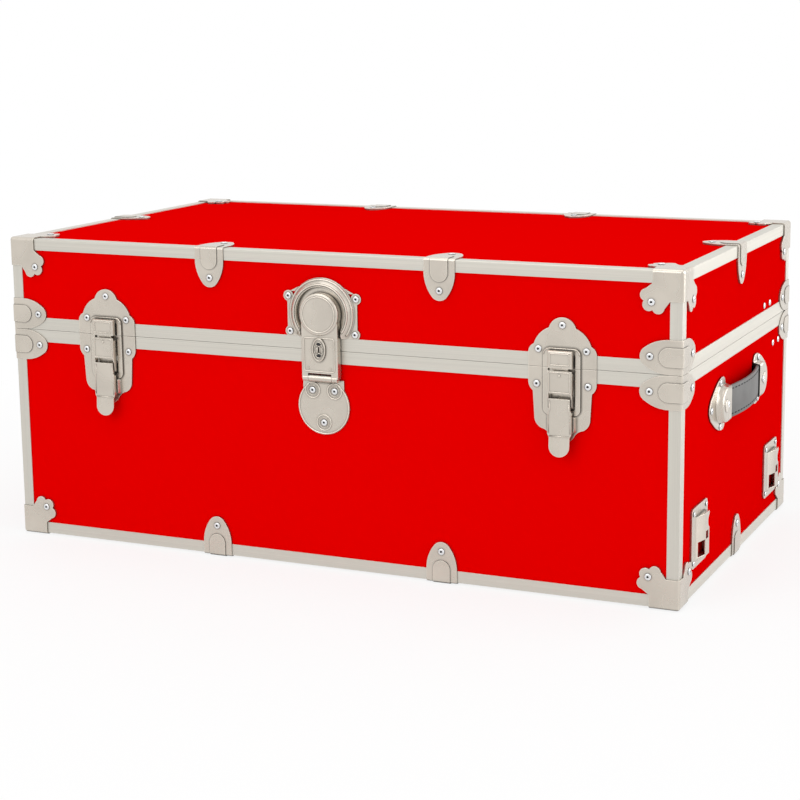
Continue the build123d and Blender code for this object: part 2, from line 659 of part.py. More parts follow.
def lock_base_plate():
    neck_y = (NECK_TOP + DISC_Z) / 2
    face = Pos(0, DISC_Z) * Circle(DISC_R) + Pos(0, neck_y) * Rectangle(2 * NECK_HALF, NECK_TOP - DISC_Z)
    plate = raised(face, -TRIM_T, LOCK_PLATE_FRONT)
    ox, oy = HASP_PIVOT
    root = Polygon(
        (LOCK_PLATE_FRONT - 0.2, NECK_TOP), (LOCK_PLATE_FRONT - 0.2, NECK_TOP - 4), (ox, oy - KNUCKLE_R),
        (ox, oy), (ox - KNUCKLE_R + 0.2, oy), align=None,
    )
    knuckle = side_profile(root, -KNUCKLE_HALF, KNUCKLE_HALF)
    knuckle += bar(KNUCKLE_R, ox, oy, -KNUCKLE_HALF, KNUCKLE_HALF)
    return plate + (knuckle - bar(HINGE_PIN_R + HINGE_PIN_CLEARANCE, ox, oy, -NECK_HALF, NECK_HALF))


def lock_hasp():
    """The hasp: a hollow pressed strap that ends in a round cup, with a knuckle each side at its foot."""
    ox, oy = HASP_PIVOT
    top = CUP_Z - 8
    strap = span(-HASP_HALF, HASP_HALF, oy, top, HASP_BACK, HASP_FRONT)
    strap = fillet(strap.edges().filter_by(Axis.Y).group_by(Axis.Z)[-1], 1.6)
    cup = Pos(0, CUP_Z, 0) * raised(Circle(CUP_R), HASP_BACK, CUP_FRONT)
    cup = fillet(cup.edges().group_by(Axis.Z)[-1], 2.2)
    inner = HASP_HALF - HASP_T
    hollow = span(-inner, inner, oy - 1, top, 0, HASP_FRONT - HASP_T)
    hollow += Pos(0, CUP_Z, 0) * raised(Circle(CUP_R - HASP_T), 0, CUP_FRONT - HASP_T)
    window = KNUCKLE_HALF + KNUCKLE_GAP
    body = strap + cup - hollow
    body -= span(-window, window, oy - 1, oy + KNUCKLE_R + 1.3, 0, CUP_FRONT)
    for side in (-1, 1):
        low, high = sorted((side * window, side * inner))
        body += bar(KNUCKLE_R, ox, oy, low, high)
        body += span(low, high, oy, oy + KNUCKLE_R, ox, HASP_FRONT - HASP_T)
    width, height, rise = ESCUTCHEON
    shield = Ellipse(width / 2, height / 2)
    body += Pos(0, KEY_Z, 0) * raised(shield, HASP_FRONT - HASP_T, HASP_FRONT + rise)
    body -= Pos(0, KEY_Z, 0) * Cylinder(KEY_R + KEY_CLEARANCE, 4 * CUP_FRONT)
    return body - bar(HINGE_PIN_R + HINGE_PIN_CLEARANCE, ox, oy, -HASP_HALF, HASP_HALF)


def lock_key_plug():
    """The key plug, with the cam behind it that turns up behind the lid plate's striker."""
    front = HASP_FRONT + ESCUTCHEON[2]
    plug = Pos(0, KEY_Z, 0) * raised(Circle(KEY_R), CAM_BACK, front)
    width, height, depth = KEYWAY
    plug -= Pos(0, KEY_Z, front) * Box(width, height, 2 * depth)
    cam_width, reach, thickness = CAM
    return plug + span(-cam_width / 2, cam_width / 2, KEY_Z - reach, KEY_Z, CAM_BACK, CAM_BACK + thickness)


def lock():
    for x, y in LOCK_EARS:
        rivet("lid", FRONT, x, y, LOCK_PLATE_FRONT)
        rivet("lid", FRONT, -x, y, LOCK_PLATE_FRONT)
    for x, y in LOCK_DISC_RIVETS:
        rivet("base", FRONT, x, DISC_Z + y, LOCK_PLATE_FRONT)
    pin = bar(HINGE_PIN_R, *HASP_PIVOT, HASP_T - HASP_HALF, HASP_HALF - HASP_T)
    return {
        "lock_lid_plate": seated(FRONT * lock_lid_plate(), "lid"),
        "lock_base_plate": seated(FRONT * lock_base_plate(), "base"),
        "lock_hasp": FRONT * lock_hasp(),
        "lock_key_plug": FRONT * lock_key_plug(),
        "lock_hinge_pin": FRONT * pin,
    }


# Strap handles, in the right end's frame
def handle_mount():
    """One end's mount, with x = 0 at its mouth and the strap towards +x."""
    tip = -MOUNT_LENGTH
    half = outline(
        (0, 0), (0, 21), ((-2.4, 26.6), (-8, MOUNT_HALF)), ((-20, MOUNT_HALF - 0.8), (-36, 23)),
        ((-49, 15.8), (tip + 4.5, 7)), ((tip + 1.3, 3.8), (tip, 0)),
    )
    plate = raised(half + mirror(half, about=Plane.XZ), -TRIM_T, CLAMP_T)
    far = -BRIDGE_LENGTH
    crest = far + BRIDGE_RAMP
    block = Polygon((0, CLAMP_T), (0, BRIDGE_FRONT), (crest, BRIDGE_FRONT), (far, CLAMP_T), align=None)
    wall = CLAMP_T
    inner_crest = crest + wall / 2
    hollow = Polygon(
        (1, 0), (1, BRIDGE_FRONT - wall), (inner_crest, BRIDGE_FRONT - wall), (far + 2 * wall, CLAMP_T),
        (far + 2 * wall, 0), align=None,
    )
    stood = Plane(origin=(0, BRIDGE_HALF, 0), x_dir=(1, 0, 0), z_dir=(0, -1, 0))
    bridge = extrude(stood * block, amount=2 * BRIDGE_HALF, dir=(0, -1, 0))
    inside = Pos(0, -wall, 0) * extrude(stood * hollow, amount=2 * (BRIDGE_HALF - wall), dir=(0, -1, 0))
    bridge = bridge - inside
    return plate + (bridge - span(far, 2, -BRIDGE_HALF, BRIDGE_HALF, -TRIM_T, CLAMP_T))


def handle_strap():
    """The strap, bowed out between the mounts, with its ends inside them."""
    reach = MOUNT_SPAN / 2
    tail = reach + STRAP_TAIL
    inner, bow = STRAP_SEAT, STRAP_BOW
    side = outline(
        (-tail, inner), (-reach, inner), ((0, bow), (reach, inner)), (tail, inner), (tail, inner + STRAP_T),
        (reach, inner + STRAP_T), ((0, bow + STRAP_T), (-reach, inner + STRAP_T)), (-tail, inner + STRAP_T),
    )
    stood = Plane(origin=(0, STRAP_WIDTH / 2, 0), x_dir=(1, 0, 0), z_dir=(0, -1, 0))
    return extrude(stood * side, amount=STRAP_WIDTH, dir=(0, -1, 0))


def handles():
    middle = RIGHT * Pos(DEPTH / 2, HANDLE_Z, 0)
    mount = handle_mount()
    back = middle * Pos(MOUNT_SPAN / 2, 0, 0) * mirror(mount, about=Plane.YZ)
    front = middle * Pos(-MOUNT_SPAN / 2, 0, 0) * mount
    parts = {}
    for name, shape in (("handle_mount_front", front), ("handle_mount_back", back)):
        right, left = both_ends(seated(shape, "base"))
        parts["right_" + name] = right
        parts["left_" + name] = left
    parts["right_handle_strap"], parts["left_handle_strap"] = both_ends(middle * handle_strap())
    for side in (-1, 1):
        for x, y in MOUNT_RIVETS:
            for along in (x - MOUNT_SPAN / 2, MOUNT_SPAN / 2 - x):
                add_end_rivet("base", side, DEPTH / 2 + along, HANDLE_Z + y, CLAMP_T)
        for along in (-1, 1):
            reach = MOUNT_SPAN / 2 + BRIDGE_RIVET
            add_end_rivet("base", side, DEPTH / 2 + along * reach, HANDLE_Z, BRIDGE_FRONT)
    return parts


# Wheel brackets on the right end
def wheel_bracket():
    """A plate whose pressed pan ramps up to the back, with a window, a slot and a notch in its back wall."""
    plate = raised(RectangleRounded(*WHEEL_SIZE, WHEEL_ROUND), -TRIM_T, CLAMP_T)
    low, high = PAN_ENDS
    wall = CLAMP_T
    pan = pan_solid(0, CLAMP_T, low, high)
    hollow = pan_solid(wall, -2 * TRIM_T, low + wall, high - wall)
    bracket = plate + pan - hollow
    for x0, x1, y0, y1 in (PAN_WINDOW, PAN_SLOT):
        bracket -= span(x0, x1, y0, y1, -2 * TRIM_T, PAN_FRONT + 1)
    notch = raised(Pos(PAN_FOOT[1], PAN_NOTCH_Y) * Circle(PAN_NOTCH_R), CLAMP_T, PAN_FRONT + 1)
    return bracket - notch


def pan_solid(inset, foot_z, y0, y1):
    """The pan's ramped section, moved inwards by inset, made solid between two heights on the end."""
    foot_front, foot_back = PAN_FOOT
    crest_front, crest_back = PAN_CREST
    top = PAN_FRONT - inset
    section = Polygon(
        (foot_front + 3 * inset, foot_z), (foot_front + 3 * inset, CLAMP_T), (crest_front, top),
        (crest_back - inset, top), (foot_back - inset, CLAMP_T), (foot_back - inset, foot_z), align=None,
    )
    stood = Plane(origin=(0, y1, 0), x_dir=(1, 0, 0), z_dir=(0, -1, 0))
    return extrude(stood * section, amount=y1 - y0, dir=(0, -1, 0))


def wheel_brackets():
    parts = {}
    piece = wheel_bracket()
    for name, y in (("front", WHEEL_Y[0]), ("back", WHEEL_Y[1])):
        parts["wheel_bracket_" + name] = seated(RIGHT * Pos(y, WHEEL_Z, 0) * piece, "base")
        for dx in (-1, 1):
            for dy in (-1, 1):
                along = y + dx * (WHEEL_SIZE[0] / 2 - WHEEL_RIVET_IN)
                up = WHEEL_Z + dy * (WHEEL_SIZE[1] / 2 - WHEEL_RIVET_IN)
                add_end_rivet("base", 1, along, up, CLAMP_T, WHEEL_RIVET_R)
    return parts


# Hinges, in the back frame
def hinge_leaf(up):
    """A leaf with its knuckles; up is 1 for the lid's leaf and -1 for the base's."""
    axis_y = SEAM_GAP / 2
    near = axis_y + up * HINGE_NOTCH
    far = axis_y + up * HINGE_LEAF
    leaf = Pos(0, (near + far) / 2) * Rectangle(2 * HINGE_HALF, abs(far - near))
    leaf = raised(fillet(leaf.vertices().group_by(Axis.Y)[-1 if up > 0 else 0], 6), -TRIM_T, HINGE_T)
    third = HINGE_HALF / 3
    gap = HINGE_GAP / 2
    if up > 0:
        spans = [(gap - third, third - gap)]
    else:
        spans = [(-HINGE_HALF, -third - gap), (third + gap, HINGE_HALF)]
    edge = axis_y + up * gap
    y0, y1 = sorted((edge, near))
    for x0, x1 in spans:
        knuckle = bar(HINGE_R, HINGE_OUT, axis_y, x0, x1) + span(x0, x1, y0, y1, 0, HINGE_OUT)
        leaf += knuckle - bar(HINGE_PIN_R + HINGE_PIN_CLEARANCE, HINGE_OUT, axis_y, -LENGTH, LENGTH)
    return leaf


def hinges():
    base = []
    lid = []
    pins = []
    for x in HINGE_X:
        place = BACK * Pos(x, 0, 0)
        base.append(seated(place * hinge_leaf(-1), "base"))
        lid.append(seated(place * hinge_leaf(1), "lid"))
        pins.append(place * bar(HINGE_PIN_R, HINGE_OUT, SEAM_GAP / 2, -HINGE_HALF, HINGE_HALF))
        for dx, dy in HINGE_RIVETS:
            rivet("lid", place, dx, SEAM_GAP / 2 + dy, HINGE_T)
            rivet("base", place, dx, SEAM_GAP / 2 - dy, HINGE_T)
    return {"hinge_base_leaves": base, "hinge_lid_leaves": lid, "hinge_pins": pins}


# Folding stays, drawn for the right end in the plane (distance in front of the hinge axis, height above it)
def stay_solid(sketch, x0, x1):
    axis = (0, DEPTH / 2 + HINGE_OUT, SEAM_Z + SEAM_GAP / 2)
    plane = Plane(origin=(x1, axis[1], axis[2]), x_dir=(0, -1, 0), z_dir=(-1, 0, 0))
    return extrude(plane * sketch, amount=x1 - x0, dir=(-1, 0, 0))


def stay_arm(start, angle, x0, x1):
    """A flat arm with an eye at each end, from a pivot and along an angle above the forward direction."""
    end = (start[0] + STAY_ARM * cos(radians(angle)), start[1] + STAY_ARM * sin(radians(angle)))
    middle = ((start[0] + end[0]) / 2, (start[1] + end[1]) / 2)
    flat = Location((*middle, 0), (0, 0, angle)) * SlotCenterToCenter(STAY_ARM, 2 * STAY_HALF)
    flat -= Pos(*start) * Circle(STAY_PIN_R + STAY_PIN_CLEARANCE)
    return stay_solid(flat, x0, x1), end


def stay_bracket(pivot, reach):
    """A plate on the lining, with the pivot's stem standing out from it to x = reach."""
    wall = LENGTH / 2 - LINED
    back = wall - STAY_T
    plate = Pos(*pivot) * SlotOverall(*STAY_BRACKET)
    arm_face = LENGTH / 2 - LINED - TONGUE_CLEARANCE - RIM_INNER_T - STAY_RIM_GAP
    bracket = stay_solid(plate, back, wall)
    if reach < arm_face - STAY_T:
        bracket += stay_solid(Pos(*pivot) * Circle(STAY_HALF - 1), arm_face - STAY_T - STAY_GAP, back)
    return bracket + stay_solid(Pos(*pivot) * Circle(STAY_PIN_R), reach, back)


def stays():
    dx = STAY_LID[0] - STAY_BASE[0]
    dy = STAY_LID[1] - STAY_BASE[1]
    along = degrees(atan2(dy, dx))
    spread = degrees(acos(hypot(dx, dy) / 2 / STAY_ARM))
    outer = LENGTH / 2 - LINED - TONGUE_CLEARANCE - RIM_INNER_T - STAY_RIM_GAP
    inner = outer - STAY_T - STAY_GAP
    lower, knee = stay_arm(STAY_BASE, along - spread, outer - STAY_T, outer)
    upper_angle = degrees(atan2(knee[1] - STAY_LID[1], knee[0] - STAY_LID[0]))
    upper, knee_upper = stay_arm(STAY_LID, upper_angle, inner - STAY_T, inner)
    head_r, head_h = KNEE_HEAD
    upper += stay_solid(Pos(*knee_upper) * Circle(head_r), inner - STAY_T - head_h, inner - STAY_T)
    base = stay_bracket(STAY_BASE, outer - STAY_T)
    lid = stay_bracket(STAY_LID, inner - STAY_T)
    axis_y = DEPTH + HINGE_OUT
    axis_z = SEAM_Z + SEAM_GAP / 2
    for side in (-1, 1):
        for along_y in (-STAY_RIVET_PITCH / 2, STAY_RIVET_PITCH / 2):
            add_end_rivet("base", side, axis_y - STAY_BASE[0] + along_y, axis_z + STAY_BASE[1], -TRIM_T)
            add_end_rivet("lid", side, axis_y - STAY_LID[0] + along_y, axis_z + STAY_LID[1], -TRIM_T)
    right_lower, left_lower = both_ends(lower)
    right_upper, left_upper = both_ends(upper)
    return {
        "stay_base_brackets": both_ends(base),
        "stay_lid_brackets": both_ends(lid),
        "right_stay_lower_arm": right_lower,
        "left_stay_lower_arm": left_lower,
        "right_stay_upper_arm": right_upper,
        "left_stay_upper_arm": left_upper,
    }


def export_all(parts):
    os.makedirs("parts", exist_ok=True)
    shift = Pos(0, Y_SHIFT, FOOT)
    for name, shape in parts.items():
        pieces = shape if isinstance(shape, list) else [shape]
        solids = [shift * solid for piece in pieces for solid in piece.solids()]
        node = solids[0] if len(solids) == 1 else Compound(children=solids)
        node.label = name
        export_step(node, f"parts/{name}.step")
        print(name, len(solids))
    print(len(parts), "nodes")


def main():
    parts = {}
    case = (base_boards, lid_boards, coverings, edging)
    hardware = (corner_caps, edge_clamps, seam_caps, latches, lock, handles, wheel_brackets, hinges, stays)
    for make in case + hardware:
        parts.update(make())
    parts["base_rivets"] = RIVETS["base"]
    parts["lid_rivets"] = RIVETS["lid"]
    export_all(parts)


main()
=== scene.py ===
# %% [markdown]
# A storage chest, dressed for its portrait.
# The CAD frame already holds every board, cap, latch and hinge at its real size. Here it gets a camera,
# light and a finish for every piece. Shapes that the solid model leaves plain are made here: hollow rivets,
# stitched straps and dished handle mounts stand in for plain solids, and pressed beads and bosses are added
# to the lock and the latches.

# %% Load the frame
import math

import bmesh
import bpy
from mathutils import Matrix, Vector


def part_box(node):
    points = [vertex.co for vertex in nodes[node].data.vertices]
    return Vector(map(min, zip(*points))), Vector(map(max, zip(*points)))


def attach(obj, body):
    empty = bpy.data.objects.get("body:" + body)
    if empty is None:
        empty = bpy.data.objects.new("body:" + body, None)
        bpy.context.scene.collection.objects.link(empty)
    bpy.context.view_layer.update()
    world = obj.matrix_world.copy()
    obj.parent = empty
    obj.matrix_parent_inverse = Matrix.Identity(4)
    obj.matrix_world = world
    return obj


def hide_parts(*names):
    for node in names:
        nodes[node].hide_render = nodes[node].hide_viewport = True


MM = 0.001
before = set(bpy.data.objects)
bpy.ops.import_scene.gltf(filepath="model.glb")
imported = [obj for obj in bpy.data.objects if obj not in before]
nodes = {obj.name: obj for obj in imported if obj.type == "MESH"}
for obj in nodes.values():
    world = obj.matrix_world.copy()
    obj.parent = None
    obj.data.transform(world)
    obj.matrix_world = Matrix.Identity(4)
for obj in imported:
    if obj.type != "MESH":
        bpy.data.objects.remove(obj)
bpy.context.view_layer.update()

# %% [markdown]
# The camera stands where the photograph was taken from: to the right of the chest and a little above it,
# some two metres away. Its place and its turn were fitted to the chest's corners, and the small lens shift
# puts the chest where it lies in the picture.

# %% Camera
CAMERA_PLACE = (0.9298, -2.038, 0.6238)
CAMERA_TURN = 0.4132
CAMERA_TILT = -0.189
CAMERA_ROLL = 0.009

camera_data = bpy.data.cameras.new("camera")
camera_data.sensor_width = 36.0
camera_data.lens = 84.83
camera_data.shift_x = -0.04585
camera_data.shift_y = -0.04791
camera_data.clip_start = 0.1
camera_data.clip_end = 50.0
level = Matrix.Rotation(math.radians(90), 3, "X")
tilt = Matrix.Rotation(CAMERA_TILT, 3, "X") @ Matrix.Rotation(CAMERA_ROLL, 3, "Y")
turn = Matrix.Rotation(CAMERA_TURN, 3, "Z") @ tilt
camera = bpy.data.objects.new("camera", camera_data)
camera.matrix_world = Matrix.Translation(CAMERA_PLACE) @ (turn @ level).to_4x4()
bpy.context.scene.collection.objects.link(camera)
bpy.context.scene.camera = camera
print("camera at", [round(v, 3) for v in camera.matrix_world.translation])

# %% [markdown]
# Node materials are built by small helpers. The first makes a bare material with its shader, and the second
# adds a node to a tree and sets what is given to it by name.

# %% Helpers: a finish and a node
def new_finish(name, colour, roughness, metallic=0.0, specular=0.5):
    """A material with a plain shader, its node tree and that shader."""
    material = bpy.data.materials.new(name)
    material.use_nodes = True
    tree = material.node_tree
    shader = tree.nodes["Principled BSDF"]
    shader.inputs["Base Color"].default_value = (*colour, 1.0)
    shader.inputs["Roughness"].default_value = roughness
    shader.inputs["Metallic"].default_value = metallic
    shader.inputs["Specular IOR Level"].default_value = specular
    return material, tree, shader


def node(tree, kind, **values):
    """A node with its inputs set by name, and its own settings where the name is one of them."""
    made = tree.nodes.new(kind)
    for name, value in values.items():
        if hasattr(made, name):
            setattr(made, name, value)
        else:
            made.inputs[name.replace("_", " ")].default_value = value
    return made


print("finish helpers ready")

# %% [markdown]
# Every pattern reads Object coordinates, which stay with the piece when it moves. A noise that is stretched
# along one axis gives the lines of drawn metal or the grain of wood, and a ramp turns its factor into two
# colours.

# %% Helpers: patterns
def stretched(tree, scale):
    """Object coordinates, stretched by a scale along each axis."""
    place = node(tree, "ShaderNodeTexCoord")
    mapping = node(tree, "ShaderNodeMapping")
    mapping.inputs["Scale"].default_value = scale
    tree.links.new(place.outputs["Object"], mapping.inputs["Vector"])
    return mapping.outputs["Vector"]


def noise(tree, vector, scale, detail=2.0):
    """A noise pattern over a vector, as its factor."""
    made = node(tree, "ShaderNodeTexNoise", Scale=scale, Detail=detail)
    tree.links.new(vector, made.inputs["Vector"])
    return made.outputs["Fac"]


def ramp(tree, factor, low, high, colours):
    """Two colours, blended as a factor goes from low to high."""
    made = node(tree, "ShaderNodeValToRGB")
    for element, place, colour in zip(made.color_ramp.elements, (low, high), colours):
        element.position = place
        element.color = (*colour, 1.0)
    tree.links.new(factor, made.inputs["Fac"])
    return made.outputs["Color"]


def spread(tree, factor, low, high):
    """A factor moved from 0..1 to low..high."""
    made = node(tree, "ShaderNodeMapRange")
    made.inputs["To Min"].default_value = low
    made.inputs["To Max"].default_value = high
    tree.links.new(factor, made.inputs["Value"])
    return made.outputs["Result"]


print("pattern helpers ready")

# %% [markdown]
# Three more helpers work on the surface. One turns a pattern into bump, and one rounds the light on sharp
# corners. The last adds painted shade to the colour in crevices and a painted highlight along sharp edges:
# an Ambient Occlusion node measures how closed in a point is, and the same node turned inside measures how
# close it lies to an edge.

# %% Helpers: surface
EDGE_FULL = 0.35
AO_SAMPLES = 8


def raise_surface(tree, shader, height, distance, strength=1.0, under=None):
    """Bump from a height pattern, over another normal where one is given."""
    made = node(tree, "ShaderNodeBump", Strength=strength, Distance=distance)
    tree.links.new(height, made.inputs["Height"])
    if under is not None:
        tree.links.new(under, made.inputs["Normal"])
    tree.links.new(made.outputs["Normal"], shader.inputs["Normal"])


def rounded_normal(tree, radius):
    """A normal that rounds the light on sharp corners."""
    soft = node(tree, "ShaderNodeBevel", Radius=radius)
    soft.samples = 4
    return soft.outputs["Normal"]


def painted_shade_and_highlight(tree, colour, crevice, depth, edge, width, alone=False):
    """A colour with painted shade in crevices about a depth across and a painted highlight along sharp
    edges.
    """
    hollow = node(tree, "ShaderNodeAmbientOcclusion", Distance=depth)
    hollow.samples = AO_SAMPLES
    hollow.only_local = alone
    closed = node(tree, "ShaderNodeMath", operation="POWER")
    closed.inputs[1].default_value = crevice
    tree.links.new(hollow.outputs["AO"], closed.inputs[0])
    ridge = node(tree, "ShaderNodeAmbientOcclusion", Distance=width)
    ridge.inside = True
    ridge.samples = AO_SAMPLES
    lift = node(tree, "ShaderNodeMapRange")
    lift.inputs["From Min"].default_value = 1.0
    lift.inputs["From Max"].default_value = EDGE_FULL
    lift.inputs["To Min"].default_value = 1.0
    lift.inputs["To Max"].default_value = edge
    tree.links.new(ridge.outputs["AO"], lift.inputs["Value"])
    share = node(tree, "ShaderNodeMath", operation="MULTIPLY")
    tree.links.new(closed.outputs["Value"], share.inputs[0])
    tree.links.new(lift.outputs["Result"], share.inputs[1])
    scale = node(tree, "ShaderNodeVectorMath", operation="SCALE")
    tree.links.new(colour, scale.inputs[0])
    tree.links.new(share.outputs["Value"], scale.inputs["Scale"])
    return scale.outputs["Vector"]


print("surface helpers ready")

# %% [markdown]
# The covering is thin sheet with a smooth red coat. In the photograph it has next to no green or blue in it,
# so a white reflection would turn it pink, most of all at the low angle at which the camera sees the top
# and the side. So the mirror-like reflection is switched off altogether. A faint orange peel and a slow
# change of depth in the colour keep the large faces from looking like paper.

# %% Red covering
RED = (0.761, 0.0, 0.0)
RED_DEEPER = 0.985


def red_coat():
    material, tree, shader = new_finish("red_covering", RED, 0.42, specular=0.0)
    place = stretched(tree, (1, 1, 1))
    deeper = tuple(c * RED_DEEPER for c in RED)
    colour = ramp(tree, noise(tree, place, 2.2), 0.3, 0.7, (deeper, RED))
    tree.links.new(colour, shader.inputs["Base Color"])
    tree.links.new(spread(tree, noise(tree, place, 5.0), 0.38, 0.48), shader.inputs["Roughness"])
    raise_surface(tree, shader, noise(tree, place, 420.0), distance=0.00004, strength=0.35)
    return material


covering = red_coat()
print("finish:", covering.name)

# %% [markdown]
# The edging is drawn aluminium. Drawing leaves fine lines along the length of each strip, so the pattern is
# stretched: on level strips it changes only with height, and on upright strips only across them. A Bevel
# node rounds the light on sharp corners by a fraction of a millimetre, as a real edge always is. Painted
# shade darkens the colour in crevices, and a painted highlight lightens it along sharp edges.

# %% Drawn aluminium
ALUMINIUM = (0.61, 0.585, 0.525)


def two_tones(colour, low, high):
    """A darker and a lighter tone of a colour."""
    return tuple(c * low for c in colour), tuple(min(1.0, c * high) for c in colour)


def drawn_metal(name, colour, scale, roughness):
    material, tree, shader = new_finish(name, colour, roughness, metallic=0.8, specular=0.4)
    lines = noise(tree, stretched(tree, scale), 1.0, 3.0)
    drawn = ramp(tree, lines, 0.35, 0.65, two_tones(colour, 0.94, 1.04))
    # Painted shade in crevices and a painted highlight along sharp edges, in the base colour.
    with_painted_light = painted_shade_and_highlight(tree, drawn, crevice=1.4, depth=0.005, edge=1.12, width=0.0008, alone=True)
    tree.links.new(with_painted_light, shader.inputs["Base Color"])
    tree.links.new(spread(tree, lines, roughness - 0.06, roughness + 0.08), shader.inputs["Roughness"])
    raise_surface(tree, shader, lines, distance=0.00003, strength=0.5, under=rounded_normal(tree, 0.0005))
    return material


level_edging = drawn_metal("edging_level", ALUMINIUM, (2, 2, 1800), 0.42)
upright_edging = drawn_metal("edging_upright", ALUMINIUM, (1500, 1500, 2), 0.42)
print("finishes:", level_edging.name, upright_edging.name)

# %% [markdown]
# Caps, clamps, latches and lock are pressed steel with a warm grey plating. In the photograph its forms are
# drawn by thin dark lines where two surfaces meet and by bright lines along the bends, so painted shade
# darkens the colour in crevices and a painted highlight lightens it along edges. Over that lie a broad
# cloudiness in the shine and a few faint scuffs.

# %% Plated steel
NICKEL = (0.60, 0.55, 0.48)
ZINC = (0.74, 0.75, 0.76)
HOLE_SHADE_COLOUR = (0.03, 0.03, 0.032)


def plated(name, colour, roughness):
    material, tree, shader = new_finish(name, colour, roughness, metallic=0.85, specular=0.5)
    clouds = noise(tree, stretched(tree, (1, 1, 1)), 26.0, 3.0)
    scuffs = noise(tree, stretched(tree, (60, 60, 900)), 1.0, 4.0)
    cloudy = ramp(tree, clouds, 0.3, 0.7, two_tones(colour, 0.92, 1.05))
    # Painted shade in crevices and a painted highlight along edges, in the base colour.
    with_painted_light = painted_shade_and_highlight(tree, cloudy, crevice=2.0, depth=0.0028, edge=1.3, width=0.0012)
    tree.links.new(with_painted_light, shader.inputs["Base Color"])
    tree.links.new(spread(tree, clouds, roughness - 0.05, roughness + 0.07), shader.inputs["Roughness"])
    raise_surface(tree, shader, scuffs, distance=0.00002, strength=0.4, under=rounded_normal(tree, 0.0007))
    return material


plating = plated("nickel_steel", NICKEL, 0.26)
rivet_shine = plated("zinc_rivets", ZINC, 0.24)
# A near-black material that is painted shade inside the rivets' bores and the keyhole.
hole_painted_shade, _, _ = new_finish("hole_painted_shade", HOLE_SHADE_COLOUR, 0.7, metallic=0.3)
print("finishes:", plating.name, rivet_shine.name, hole_painted_shade.name)

# %% [markdown]
# Inside, the boards are plywood and the lining a plain matt sheet. Neither shows in the photograph, so both
# are kept quiet. The plywood's grain is a noise that is stretched along the board.

# %% Boards and lining
WOOD = (0.55, 0.38, 0.22)
WOOD_TONES = ((0.46, 0.30, 0.16), (0.62, 0.45, 0.28))
LINING = (0.45, 0.42, 0.36)
LINING_TONES = ((0.42, 0.39, 0.33), (0.48, 0.45, 0.39))


def bare_plywood():
    material, tree, shader = new_finish("plywood", WOOD, 0.7, specular=0.3)
    grain = noise(tree, stretched(tree, (3, 40, 160)), 1.0, 5.0)
    tree.links.new(ramp(tree, grain, 0.3, 0.7, WOOD_TONES), shader.inputs["Base Color"])
    raise_surface(tree, shader, grain, distance=0.0001, strength=0.3)
    return material


def plain_lining():
    material, tree, shader = new_finish("lining_paper", LINING, 0.9, specular=0.2)
    fibres = noise(tree, stretched(tree, (1, 1, 1)), 700.0, 3.0)
    tree.links.new(ramp(tree, fibres, 0.3, 0.7, LINING_TONES), shader.inputs["Base Color"])
    raise_surface(tree, shader, fibres, distance=0.00008, strength=0.4)
    return material


plywood = bare_plywood()
lining = plain_lining()
print("finishes:", plywood.name, lining.name)

# %% [markdown]
# Each node of the frame takes its finish by what its name ends in. The material goes in the object's own
# slot, so the mesh that came from the CAD stays untouched.

# %% Dress the frame
FINISHES = (
    (("_board",), plywood),
    (("_skin",), covering),
    (("_lining",), lining),
    (("_corner_trims",), upright_edging),
    (("_trim", "_rim"), level_edging),
    (("_rivets",), rivet_shine),
)


def finish_of(name):
    """The material for a node of the frame: plating, unless its name ends in something else."""
    for ends, material in FINISHES:
        if name.endswith(ends):
            return material
    return plating


def dress(obj, material):
    """Puts a material in every slot of an object, on the object and not on its mesh."""
    for place in obj.material_slots:
        place.link = "OBJECT"
        place.material = material


for name, obj in nodes.items():
    dress(obj, finish_of(name))
print("dressed", len(nodes), "nodes")

# %% [markdown]
# Every new piece starts as a bmesh and ends in the same way: it becomes a mesh with its finishes, and an
# object at the origin carries that mesh. What the piece moves with, what it stands for and what coats it is
# then said piece by piece.

# %% From a bmesh to a piece
def new_piece(bm, name, *finishes):
    """An object of that name from a bmesh, with its finishes in the order of their slots."""
    mesh = bpy.data.meshes.new(name)
    bm.to_mesh(mesh)
    bm.free()
    for finish in finishes:
        mesh.materials.append(finish)
    piece = bpy.data.objects.new(name, mesh)
    bpy.context.scene.collection.objects.link(piece)
    return piece


def faces_in(items):
    """The faces among the items that an operator gives back."""
    return [item for item in items if isinstance(item, bmesh.types.BMFace)]


print("piece helpers ready")

# %% [markdown]
# The rivets are hollow: a low rounded head with a small bore whose dark colour is painted shade. One head is
# drawn as half its section and spun round its axis. The section is given in shares of the head's radius and
# height, so that one outline does for large and small heads.

# %% One rivet head
RIVET_SECTION = (
    (0.0, 0.2), (0.27, 0.2), (0.31, 0.84), (0.42, 0.98), (0.66, 0.92), (0.9, 0.58), (1.0, 0.0), (0.0, 0.0),
)
RIVET_STEPS = 16
BORE_SHARE = 0.3
BORE_FLOOR = 0.1
WELD = 1e-6


